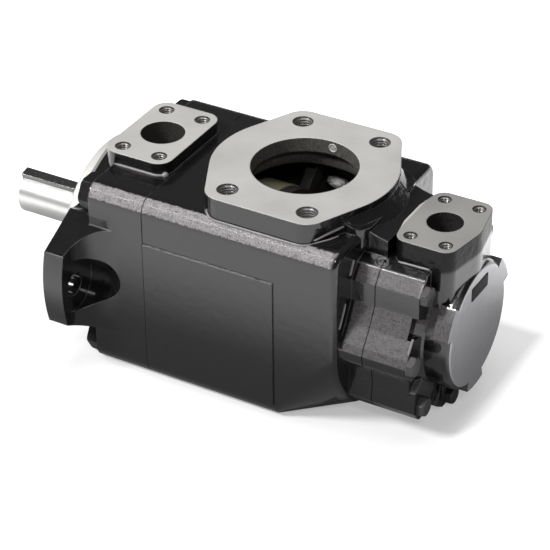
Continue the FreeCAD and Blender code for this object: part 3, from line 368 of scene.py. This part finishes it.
def bead(path, radius):
    """Closed tube along a path of straight runs. Its centre line is the path at even steps, softened by a
    running mean of five. Its radius is the root of 1 less t to the 8th, where t runs from -1 to 1, and not
    under a fifth."""
    steps = 60
    path = np.array(path, float)
    along = np.concatenate([[0.0], np.cumsum(np.linalg.norm(np.diff(path, axis=0), axis=1))])
    at = np.linspace(0.0, along[-1], steps)
    line = np.stack([np.interp(at, along, path[:, axis]) for axis in range(3)], -1)
    padded = np.concatenate([line[:1], line[:1], line, line[-1:], line[-1:]])
    line = sum(padded[shift:shift + steps] for shift in range(5)) / 5
    ahead = np.gradient(line, axis=0)
    ahead = ahead / np.linalg.norm(ahead, axis=1)[:, None]
    aside = np.cross(ahead, (0.31, 0.2, 0.93))
    aside = aside / np.linalg.norm(aside, axis=1)[:, None]
    over = np.cross(aside, ahead)
    turn = ring_angles(12)[None, :, None]
    t = np.linspace(-1.0, 1.0, steps)
    r = radius * np.maximum(np.sqrt(1 - t ** 8), 0.2)[:, None, None]
    around = np.cos(turn) * aside[:, None] + np.sin(turn) * over[:, None]
    return grid(line[:, None] + r * around, capped=True)


# Shader nodes

class Amount:
    """A number that changes over a surface: wraps an output socket, and arithmetic adds Math nodes."""

    def __init__(self, finish, socket):
        self.finish = finish
        self.socket = socket

    def __add__(self, other):
        return self.finish.maths("ADD", self, other)

    def __sub__(self, other):
        return self.finish.maths("SUBTRACT", self, other)

    def __rsub__(self, other):
        return self.finish.maths("SUBTRACT", other, self)

    def __mul__(self, other):
        return self.finish.maths("MULTIPLY", self, other)

    def __gt__(self, other):
        return self.finish.maths("GREATER_THAN", self, other)

    def __lt__(self, other):
        return self.finish.maths("LESS_THAN", self, other)

    def __abs__(self):
        return self.finish.maths("ABSOLUTE", self)

    __radd__ = __add__
    __rmul__ = __mul__

    def ramp(self, low, high):
        """Smooth rise from 0 at low to 1 at high; it falls where low is the larger."""
        node = self.finish.node("ShaderNodeMapRange", {"interpolation_type": "SMOOTHSTEP"},
                                {"Value": self, "From Min": low, "From Max": high})
        return Amount(self.finish, node.outputs["Result"])


class Finish:
    """A material in the making, with its coordinates in millimetres."""

    def __init__(self, name, roughness, metallic=0.0, **fixed):
        self.material = bpy.data.materials.new(name)
        self.material.use_nodes = True
        self.tree = self.material.node_tree
        self.shader = self.tree.nodes["Principled BSDF"]
        self.set(**{"Roughness": roughness, "Metallic": metallic}, **fixed)
        coordinates = self.node("ShaderNodeTexCoord")
        scaled = self.node("ShaderNodeVectorMath", {"operation": "SCALE"},
                           {"Vector": coordinates.outputs["Object"], "Scale": 1 / MM})
        self.place = scaled.outputs["Vector"]
        self.true_normal = self.node("ShaderNodeNewGeometry").outputs["True Normal"]
        self.x, self.y, self.z = self.split(self.place)
        self.facing_x, _, self.facing_z = self.split(self.true_normal)

    def node(self, kind, settings=None, sockets=None):
        made = self.tree.nodes.new(kind)
        for key, value in (settings or {}).items():
            setattr(made, key, value)
        for key, value in (sockets or {}).items():
            self.feed(made.inputs[key], value)
        return made

    def feed(self, socket, value):
        value = value.socket if isinstance(value, Amount) else value
        if isinstance(value, bpy.types.NodeSocket):
            self.tree.links.new(value, socket)
        else:
            socket.default_value = value

    def set(self, **sockets):
        for key, value in sockets.items():
            self.feed(self.shader.inputs[key.replace("_", " ")], value)

    def maths(self, operation, *values):
        made = self.node("ShaderNodeMath", {"operation": operation}, dict(enumerate(values)))
        return Amount(self, made.outputs["Value"])

    def split(self, vector):
        """The X, Y and Z of a vector."""
        parts = self.node("ShaderNodeSeparateXYZ", {}, {"Vector": vector})
        return [Amount(self, parts.outputs[axis]) for axis in "XYZ"]

    def larger(self, first, *others):
        """The largest of several amounts."""
        for other in others:
            first = self.maths("MAXIMUM", first, other)
        return first

    def hypotenuse(self, *sides):
        """Root of the sum of the sides' squares."""
        return self.maths("SQRT", sum(side * side for side in sides))

    def distance(self, centre, axes):
        """Distance from a point, counted along the named axes only, in millimetres."""
        return self.hypotenuse(*(getattr(self, axis) - value for axis, value in zip(axes, centre)))

    def noise(self, size, detail=2.0, roughness=0.5, stretch=(1.0, 1.0, 1.0)):
        """Cloud noise whose lumps are about size millimetres, drawn out by the stretch."""
        place = self.node("ShaderNodeMapping", {}, {"Vector": self.place, "Scale": [1 / s for s in stretch]})
        made = self.node("ShaderNodeTexNoise", {}, {"Vector": place.outputs["Vector"], "Scale": 1 / size,
                                                    "Detail": detail, "Roughness": roughness})
        return Amount(self, made.outputs["Fac"])

    def mix(self, share, first, second):
        """Colour between two, by the share of the second."""
        made = self.node("ShaderNodeMix", {"data_type": "RGBA"}, {"Factor": share})
        for socket, value in ((made.inputs[6], first), (made.inputs[7], second)):
            self.feed(socket, value if isinstance(value, bpy.types.NodeSocket) else [*value, 1.0])
        return made.outputs[2]

    def rounded(self, radius):
        """Normal with the edges rounded, and how far it leans from the true one."""
        soft = self.node("ShaderNodeBevel", {"samples": 6}, {"Radius": radius * MM}).outputs["Normal"]
        dot = self.node("ShaderNodeVectorMath", {"operation": "DOT_PRODUCT"}, {0: soft, 1: self.true_normal})
        return soft, 1 - Amount(self, dot.outputs["Value"])

    def bump(self, height, normal):
        """Normal bent by a height in millimetres."""
        made = self.node("ShaderNodeBump", {}, {"Height": height * MM, "Strength": 1.0, "Distance": 1.0,
                                                "Normal": normal})
        return made.outputs["Normal"]

    def dress(self, nodes):
        """Put the material on CAD nodes in place of what they have."""
        for node in nodes:
            materials = frame["nodes"][node].data.materials
            materials.clear()
            materials.append(self.material)


def tint(base, share):
    """The colour made darker, or lighter if the share is over 1."""
    return [share * part for part in base]


def face_up(finish, z):
    """1 on the level face at height z."""
    return (finish.facing_z > 0.96) * (abs(finish.z - z) < 0.35)


def joint_face(finish, x):
    """1 on a face square to the shaft at x."""
    return (abs(finish.x - x) < 0.3) * (abs(finish.facing_x) > 0.9)


def joint_lines(*places):
    """A function that gives the share of dark line at each of the places along X."""
    gap = bpy.context.scene.pump_paint.gap_mm

    def lines(finish):
        return finish.larger(*((gap - abs(finish.x - x)).ramp(0.0, gap * 0.5) for x in places))
    return lines


def sand_and_highlight_share(finish, soft, fray):
    """Share of sand, which also carries the key light's painted highlight as a pale colour: on slopes that
    lean up and to a side, along the body's top edges and on the drum.
    """
    paint = bpy.context.scene.pump_paint
    _, lean_y, lean_z = finish.split(soft)
    slope = abs(lean_y).ramp(0.12, 0.36) * lean_z.ramp(0.16, 0.34) * lean_z.ramp(0.985, 0.90)
    aside = abs(finish.y)
    body = finish.x.ramp(*BAND_FRONT_X) * finish.x.ramp(*BAND_REAR_X) * aside.ramp(*BAND_SIDE)
    body = body * finish.z.ramp(*BAND_Z)
    drum = finish.x.ramp(*DRUM_X) * aside.ramp(*DRUM_SIDE)
    places = finish.larger(body * paint.body_sand_highlight, drum * paint.drum_sand_highlight)
    return (slope + fray * 2.2).ramp(1.45, 1.95) * slope.ramp(0.0, 0.15) * places


def cut_iron(finish, port, bare, lines):
    """Colour of machined iron: lines and clouds, and a dark ring of painted shade for the chamfer round each
    of the port's tapped holes.
    """
    iron = bpy.context.scene.pump_metal.iron
    cloud = finish.noise(CLOUD_MM)
    tone = finish.mix((lines * 0.5 + cloud * 0.9 - 0.3).ramp(0.0, 1.0), iron, tint(iron, 0.66))
    x, y, _ = PORT_PLACE[port]
    from_hole = finish.hypotenuse(abs(abs(finish.x - x) - TAPPED[port]["spacing_x_mm"] / 2),
                                  abs(abs(finish.y - y) - TAPPED[port]["spacing_y_mm"] / 2))
    # The dark ring round each tapped hole is painted shade standing in for its chamfer.
    chamfer_shade_r = TAPPED[port]["hole_r_mm"] + bpy.context.scene.pump_detail.chamfer_shade_mm
    return finish.mix(bare * (from_hole < chamfer_shade_r), tone, tint(iron, 0.16))


def cored_skin(finish, port):
    """1 inside the port's bore, below its face."""
    in_bore = finish.distance(PORT_PLACE[port][:2], "xy") < PORT_R[port] + 0.7
    return in_bore * (finish.z < PORT_Z[port] - UNDER_FACE)


def chamber_skin(finish):
    """1 on the walls of the suction chamber and of the throat above it."""
    lengthwise = (finish.x > CHAMBER_X[0]) * (finish.x < CHAMBER_X[1])
    chamber = lengthwise * (abs(finish.y) < CHAMBER_HALF_Y) * (abs(finish.z) < CHAMBER_HALF_Z)
    from_port = finish.distance((PORT_PLACE["suction_port"][0], 0.0), "xy")
    return finish.larger(chamber, (from_port < THROAT_R) * (finish.z < PORT_Z["suction_port"] - UNDER_FACE))


def casting(name, node, machined, joints, port, chambered=False):
    """Painted cast iron with sand on its slopes, bare iron where machined() says, unpainted skin inside the
    port and, if chambered, the suction chamber, and dark lines where joints() says. The sand and the
    up-facing edges take a painted highlight, and the edges also show wear. The rear face takes a painted
    reflection. The chamber, the throat below its upper part, and the rear outlet's neck take painted shade."""
    paint, metal = bpy.context.scene.pump_paint, bpy.context.scene.pump_metal
    finish = Finish(name, 0.3, Specular_IOR_Level=0.3, Coat_Roughness=0.05)
    soft, lean = finish.rounded(paint.edge_mm)
    _, _, lean_z = finish.split(soft)
    grain = finish.noise(paint.grain_mm, 3.0, 0.7)
    patch = finish.noise(PATCH_MM, 2.0, 0.55)
    swell = finish.noise(paint.swell_mm)
    fray = finish.noise(FRAY_MM, 4.0, 0.75)
    lines = finish.noise(metal.line_mm, 2.0, 0.6, LINE_STRETCH)
    speckle = (grain + fray * 0.3).ramp(0.44, 0.76)

    # Where each skin lies
    bare = machined(finish)
    cored = cored_skin(finish, port)
    core_light_share = 0.3
    if chambered:
        cored = finish.larger(cored, chamber_skin(finish))
        # Lower in the chamber and throat, less of the lighter core shows: painted shade.
        core_light_share = finish.z.ramp(*CHAMBER_SHADE_Z) * 0.88 + 0.12
    sand_and_highlight = sand_and_highlight_share(finish, soft, fray) * (1 - bare)
    rough = finish.larger(sand_and_highlight, cored)
    # Pale up-facing edges: partly wear, partly a painted highlight.
    worn_and_highlit_edges = lean.ramp(0.03, 0.16) * lean_z.ramp(0.15, 0.5) * patch.ramp(0.30, 0.55)
    # The rear face's pale grey is a painted reflection.
    rear_face_reflection = (finish.x > REAR_DISC_X) * (finish.facing_x > 0.9)
    # Painted shade on the neck of the rear outlet.
    neck_shade = (finish.x > NECK_X) * (finish.x < REAR_DISC_X) * finish.z.ramp(*NECK_Z)
    thick = finish.x.ramp(*THICK_X) * finish.z.ramp(*THICK_Z)

    # Colour, gloss and relief
    painted = finish.mix(worn_and_highlit_edges * 0.3, paint.black, paint.skin)
    # The sand takes a pale, speckled painted highlight.
    painted = finish.mix(sand_and_highlight * (speckle * 0.9 + 0.1), painted, paint.skin)
    painted = finish.mix(rear_face_reflection, painted, paint.rear_face_reflection)
    raw = finish.mix(speckle * core_light_share, tint(paint.core, 0.12), paint.core)
    cut = cut_iron(finish, port, bare, lines)
    finish.set(Base_Color=finish.mix(cored, finish.mix(bare, painted, cut), raw))
    of_paint = patch * PAINT_ROUGHNESS[1] + PAINT_ROUGHNESS[0]
    of_iron = lines * IRON_ROUGHNESS[1] + IRON_ROUGHNESS[0]
    finish.set(Roughness=of_paint * (1 - bare) + of_iron * bare + rough * SAND_ROUGHNESS)
    finish.set(Metallic=finish.larger(bare * 0.35, rear_face_reflection * 0.3))
    finish.set(Coat_Weight=(1 - bare) * (1 - rough) * (1 - neck_shade) * COAT)
    waves = swell * (thick * 0.5 + 0.30) * (1 - bare)
    grains = grain * paint.grain_height_mm * (rough + 0.06)
    finish.set(Normal=finish.bump(waves + grains + lines * 0.012 * bare, soft))

    # Dark joint lines, and painted shade on the neck of the rear outlet
    dark_lines_and_shade = finish.node("ShaderNodeBsdfDiffuse", {}, {"Color": (0.004, 0.004, 0.004, 1.0)})
    both = finish.node("ShaderNodeMixShader", {}, {0: finish.larger(joints(finish), neck_shade * 0.4),
                                                   1: finish.shader.outputs[0], 2: dark_lines_and_shade.outputs[0]})
    finish.feed(finish.tree.nodes["Material Output"].inputs["Surface"], both.outputs[0])
    finish.dress([node])


def ground_metal(name, base, roughness, nodes, metallic=1.0, stretch=(1.0, 12.0, 12.0), depth=0.004):
    """Bare metal with fine marks drawn out along the stretch."""
    finish = Finish(name, roughness, metallic)
    marks = finish.noise(bpy.context.scene.pump_metal.line_mm, 2.0, 0.6, stretch)
    cloud = finish.noise(6.0)
    soft, lean = finish.rounded(0.5)
    tone = finish.mix(marks * 0.5 + cloud * 0.3, base, tint(base, 0.74))
    bright = [min(1.0, part) for part in tint(base, 1.25)]
    finish.set(Base_Color=finish.mix((lean * 4.0).ramp(0.1, 0.9) * 0.5, tone, bright))
    finish.set(Roughness=marks * 0.16 + cloud * 0.1 + (roughness - 0.13))
    finish.set(Normal=finish.bump(marks * depth, soft))
    finish.dress(nodes)


def dull_coat(name, base, roughness, nodes, grain, depth, shine=0.5):
    """Oxide or rubber: dark, even, with a fine grain and slightly paler edges."""
    finish = Finish(name, roughness, Specular_IOR_Level=shine)
    fine = finish.noise(grain, 2.0, 0.6)
    cloud = finish.noise(5.0)
    soft, lean = finish.rounded(0.7)
    pale = (lean * 5.0 + cloud * 0.3 - 0.15).ramp(0.0, 1.0)
    finish.set(Base_Color=finish.mix(pale * 0.6, base, [part + 0.02 for part in tint(base, 5)]))
    finish.set(Roughness=fine * 0.2 + cloud * 0.15 + (roughness - 0.17))
    finish.set(Normal=finish.bump(fine * depth, soft))
    finish.dress(nodes)


# Operators

class PumpCastingFinish(bpy.types.Operator):
    """Paint the three castings and bare their machined faces"""
    bl_idname = "pump.casting_finish"
    bl_label = "Castings"

    def execute(self, context):
        def front(finish):
            from_axis = finish.distance((0, 0), "yz")
            front_face = (finish.x < 0.2) * (finish.facing_x < -0.3)
            pilot = (finish.x < -0.05) * (from_axis > MOUNTS["pilot"]["dims"]["r_mm"] - 3.0)
            rim = (finish.x < RIM_X) * (from_axis > RIM_R[0]) * (from_axis < RIM_R[1])
            rim = rim * (finish.facing_x < 0.5) * RIM_SHARE
            return finish.larger(front_face, pilot, rim, face_up(finish, PORT_Z["p1_port"]),
                                 joint_face(finish, FRONT_JOINT_X))

        def centre(finish):
            return finish.larger(face_up(finish, PORT_Z["suction_port"]), joint_face(finish, FRONT_JOINT_X),
                                 joint_face(finish, REAR_JOINT_X))

        def rear(finish):
            return finish.larger(face_up(finish, PORT_Z["p2_port"]), joint_face(finish, REAR_JOINT_X))

        casting("front_casting", "front_cap", front, joint_lines(FRONT_JOINT_X), "p1_port")
        casting("centre_casting", "centre_housing", centre, joint_lines(FRONT_JOINT_X, REAR_JOINT_X),
                "suction_port", chambered=True)
        casting("rear_casting", "rear_cap", rear, joint_lines(REAR_JOINT_X), "p2_port")
        return {"FINISHED"}


class PumpMetalFinish(bpy.types.Operator):
    """Finish the shaft, the bolts and every inner piece"""
    bl_idname = "pump.metal_finish"
    bl_label = "Shaft, bolts and inner pieces"

    def execute(self, context):
        metal = context.scene.pump_metal
        self.metals(metal)
        self.coats(metal)
        self.small_pieces(metal, context.scene.pump_paint)
        return {"FINISHED"}

    def each(self, *names):
        """The named nodes of both cartridges."""
        return [prefix + name for prefix in ("p1_", "p2_") for name in names]

    def metals(self, metal):
        """Bare metals: shaft, key, cartridges and bearing."""
        vanes = self.each(*(f"vane_{number:02d}" for number in range(1, 11)))
        bearing = ["bearing_outer_ring", "bearing_inner_ring", "bearing_rollers", "bearing_retaining_ring",
                   "shaft_retaining_ring", "seal_garter_spring"]
        ground_metal("shaft_ground", tint(metal.steel, 1.3), 0.34, ["drive_shaft"], metallic=0.8,
                     stretch=(1.0, 14.0, 14.0), depth=0.002)
        ground_metal("key_steel", tint(metal.steel, 0.5), 0.24, ["shaft_key"], stretch=(16.0, 1.0, 1.0))
        ground_metal("rotor_ground", tint(metal.steel, 0.8), 0.3, self.each("rotor", "cam_ring"),
                     stretch=(1.0, 9.0, 9.0))
        ground_metal("vane_ground", metal.steel, 0.24, vanes, stretch=(14.0, 1.0, 1.0))
        ground_metal("side_plate_bronze", metal.bronze, 0.36,
                     self.each("pressure_plate", "port_plate") + ["rear_bush"],
                     metallic=0.5, stretch=(1.0, 8.0, 8.0))
        ground_metal("bearing_ground", metal.steel, 0.2, bearing + self.each("dowel_pins"))
        ground_metal("cage_brass", metal.brass, 0.35, ["bearing_cage"])

    def coats(self, metal):
        """Dark coats: bolts, screws and seals."""
        seals = ["shaft_seal", "front_joint_o_ring", "rear_joint_o_ring"] + self.each("plate_seal")
        dull_coat("bolt_paint", tint(metal.oxide, 0.25), 0.3, ["front_cap_bolts"], 0.5, 0.03, shine=0.3)
        dull_coat("bolt_oxide", metal.oxide, 0.42, ["rear_cap_bolts"], 0.5, 0.05)
        dull_coat("screw_oxide", metal.oxide, 0.4, self.each("cartridge_screws"), 0.4, 0.02)
        dull_coat("seal_rubber", metal.rubber, 0.55, seals, 0.3, 0.02)

    def small_pieces(self, metal, paint):
        """Materials of the pieces that the steps after this one add."""
        ground_metal("thread_cut", tint(metal.iron, 0.45), 0.35, [], metallic=0.6)
        ground_metal("core_iron", metal.iron, 0.5, [], metallic=0.3, stretch=(1.0, 1.0, 1.0), depth=0.2)
        # The beads' pale colour is a painted highlight.
        dull_coat("bead_highlight", tint(paint.skin, 0.5), 0.3, [], 0.8, 0.05)
        dull_coat("plate_dark", tint(metal.oxide, 0.2), 0.5, [], 0.6, 0.02, shine=0.08)


class PumpPortThreads(bpy.types.Operator):
    """Cut the threads of the twelve port holes"""
    bl_idname = "pump.port_threads"
    bl_label = "Port threads"

    def execute(self, context):
        detail = context.scene.pump_detail
        for port, (pitch, depth) in THREADS.items():
            sleeves = [thread_sleeve(x, y, PORT_Z[port], TAPPED[port]["hole_r_mm"], detail.thread_start_mm,
                                     depth * detail.thread_share, pitch, detail.thread_depth_mm)
                       for x, y in hole_places(port)]
            piece(port + "_thread_turns", sleeves, "thread_cut", 50.0)
        return {"FINISHED"}


class PumpSmallCastings(bpy.types.Operator):
    """Add the blank plate, the round button, the plug and the rough lump in the suction chamber"""
    bl_idname = "pump.small_castings"
    bl_label = "Plate, button, plug and lump"

    def execute(self, context):
        detail = context.scene.pump_detail
        blank = plate(PLATE_PLACE, detail.plate_y_mm / 2, detail.plate_z_mm / 2, detail.plate_t_mm)
        piece("rear_blank_plate", [blank], "plate_dark")
        r = detail.button_r_mm
        rounded = [(r + 0.3, -1.2), (r, 0.3), (r - 0.4, 0.9), (r - 1.1, 1.1), (r - 1.8, 0.8), (r - 2.3, 0.3),
                   (r - 3.0, 0.6), (r - 3.7, 0.9), (r - 4.6, 1.0)]
        piece("joint_button", [turned(BUTTON_PLACE, BUTTON_OUTWARD, rounded)], "centre_casting", 60.0)
        piece("throat_plug", [turned(PLUG_PLACE, (0.0, -1.0, 0.0), PLUG_PROFILE)], "core_iron")
        rough = lump(LUMP_PLACE, LUMP_RADII, LUMP_WAVES, LUMP_HEIGHT)
        piece("chamber_lump", [rough], "core_iron", 60.0)
        return {"FINISHED"}


class PumpFootBeads(bpy.types.Operator):
    """Lay the pale beads, painted highlights, along the feet of the pads and the ends of the drum's slopes"""
    bl_idname = "pump.foot_beads"
    bl_label = "Highlight beads"

    def execute(self, context):
        radius = context.scene.pump_detail.bead_mm
        for casting_name, paths in BEADS.items():
            runs = [bead(path, radius * thickness) for thickness, path in paths]
            if casting_name == "front":
                runs.append(turned(DRIP_PLACE, DRIP_OUTWARD, DRIP_PROFILE))
            piece(casting_name + "_highlight_beads", runs, "bead_highlight", 60.0)
        return {"FINISHED"}


class PumpStageSet(bpy.types.Operator):
    """Set the floor, the lamps and the camera"""
    bl_idname = "pump.stage_set"
    bl_label = "Stage"

    def execute(self, context):
        stage = context.scene.pump_stage
        context.scene.view_settings.view_transform = "Standard"
        self.floor(stage)
        self.sky(context, stage)
        self.sun("key_sun", *KEY_SUN, stage.key)
        self.sun("rim_sun", *RIM_SUN, stage.rim)
        self.lamp("top_lamp", TOP_LAMP_M, TOP_LAMP_SIZE_M, stage.top)
        self.camera(context, stage)
        return {"FINISHED"}

    def floor(self, stage):
        """Level floor whose shine is seen by the camera and in the paint; near the pump the shine fades and,
        in reflections, the colour darkens, as painted shade round the pump.
        """
        half, z = FLOOR_HALF_M, CAD_BOX[0][2]
        mesh = bpy.data.meshes.new("floor")
        mesh.from_pydata([(-half, -half, z), (half, -half, z), (half, half, z), (-half, half, z)], [],
                         [(0, 1, 2, 3)])
        finish = Finish("floor_white", 0.9)
        light = finish.node("ShaderNodeLightPath").outputs
        looked_at = Amount(finish, light["Is Camera Ray"])
        mirrored = finish.larger(Amount(finish, light["Is Glossy Ray"]),
                                 Amount(finish, light["Is Transmission Ray"]))
        beyond = [finish.larger(abs(at - (low + high) / 2) - (high - low) / 2, 0.0)
                  for at, low, high in zip((finish.x, finish.y), in_mm(CAD_BOX[0]), in_mm(CAD_BOX[1]))]
        away = finish.hypotenuse(*beyond)
        shine = looked_at * away.ramp(-20.0, stage.white_mm) + mirrored * away.ramp(20.0, stage.glow_mm)
        finish.set(Emission_Color=finish.mix(shine, (0.0, 0.0, 0.0), [stage.glow] * 3), Emission_Strength=1.0)
        # Darker floor colour near the pump in reflections: painted shade.
        shaded = mirrored * away.ramp(120.0, 20.0) + finish.noise(60.0) * 0.03
        finish.set(Base_Color=finish.mix(shaded, stage.floor, tint(stage.floor, 0.45)))
        mesh.materials.append(finish.material)
        floor = bpy.data.objects.new("floor", mesh)
        bpy.context.scene.collection.objects.link(floor)

    def sky(self, context, stage):
        """Even light all round, which the camera sees as white."""
        world = bpy.data.worlds.new("even_sky")
        world.use_nodes = True
        nodes, links = world.node_tree.nodes, world.node_tree.links
        back = nodes["Background"]
        back.inputs["Color"].default_value = (1.0, 1.0, 1.0, 1.0)
        back.inputs["Strength"].default_value = stage.sky
        bright = nodes.new("ShaderNodeBackground")
        bright.inputs["Strength"].default_value = 1.0
        path, choose = nodes.new("ShaderNodeLightPath"), nodes.new("ShaderNodeMixShader")
        links.new(path.outputs["Is Camera Ray"], choose.inputs[0])
        links.new(back.outputs[0], choose.inputs[1])
        links.new(bright.outputs[0], choose.inputs[2])
        links.new(choose.outputs[0], nodes["World Output"].inputs["Surface"])
        context.scene.world = world

    def sun(self, name, towards, degrees, strength):
        """Light from one direction, as wide as the angle says."""
        light = bpy.data.lights.new(name, "SUN")
        light.angle = np.radians(degrees)
        light.energy = strength
        sun = bpy.data.objects.new(name, light)
        sun.rotation_euler = Vector(towards).to_track_quat("Z", "Y").to_euler()
        bpy.context.scene.collection.objects.link(sun)

    def lamp(self, name, place, size, watts):
        """Square lamp that looks at the pump's middle."""
        light = bpy.data.lights.new(name, "AREA")
        light.size = size
        light.energy = watts
        lamp = bpy.data.objects.new(name, light)
        lamp.location = place
        middle = (np.array(CAD_BOX[0]) + np.array(CAD_BOX[1])) / 2
        away = lamp.location - Vector(middle)
        lamp.rotation_euler = away.to_track_quat("Z", "Y").to_euler()
        bpy.context.scene.collection.objects.link(lamp)

    def camera(self, context, stage):
        """Place the camera on the ray from its aim, whose back vector comes from azimuth and elevation."""
        az, el, roll = stage.azimuth, stage.elevation, stage.roll
        back = np.array([np.sin(az) * np.cos(el), -np.cos(az) * np.cos(el), np.sin(el)])
        level = np.array([np.cos(az), np.sin(az), 0.0])
        upright = np.cross(back, level)
        right = np.cos(roll) * level + np.sin(roll) * upright
        up = np.cos(roll) * upright - np.sin(roll) * level
        eye = (np.array(stage.aim_mm) + back * stage.distance_mm) * MM
        data = bpy.data.cameras.new("photo_camera")
        data.sensor_width = 36.0
        data.lens = stage.lens_mm
        data.clip_end = 20.0
        camera = bpy.data.objects.new("photo_camera", data)
        turn = np.stack([right, up, back], 1)
        camera.matrix_world = Matrix([[*row, place] for row, place in zip(turn, eye)] + [[0, 0, 0, 1]])
        bpy.context.scene.collection.objects.link(camera)
        context.scene.camera = camera


STEPS = (PumpStageSet, PumpCastingFinish, PumpMetalFinish, PumpPortThreads, PumpSmallCastings, PumpFootBeads)


class PumpPanel(bpy.types.Panel):
    """Steps and settings of the pump"""
    bl_idname = "VIEW3D_PT_pump"
    bl_label = "Vane Pump"
    bl_space_type = "VIEW_3D"
    bl_region_type = "UI"
    bl_category = "Vane Pump"

    def draw(self, context):
        for step in STEPS:
            self.layout.operator(step.bl_idname)
        for sheet in SHEETS:
            group = getattr(context.scene, sheet)
            for key in group.bl_rna.properties.keys():
                if key not in ("rna_type", "name"):
                    self.layout.prop(group, key)


SHEETS = {"pump_paint": PumpPaint, "pump_metal": PumpMetal, "pump_detail": PumpDetail,
          "pump_stage": PumpStage}


def register():
    for cls in (*SHEETS.values(), *STEPS, PumpPanel):
        bpy.utils.register_class(cls)
    for sheet, cls in SHEETS.items():
        setattr(bpy.types.Scene, sheet, PointerProperty(type=cls))


def unregister():
    for sheet in SHEETS:
        delattr(bpy.types.Scene, sheet)
    for cls in reversed((*SHEETS.values(), *STEPS, PumpPanel)):
        bpy.utils.unregister_class(cls)


def main():
    register()
    for step in STEPS:
        group, name = step.bl_idname.split(".")
        getattr(getattr(bpy.ops, group), name)()


if __name__ == "__main__":
    main()
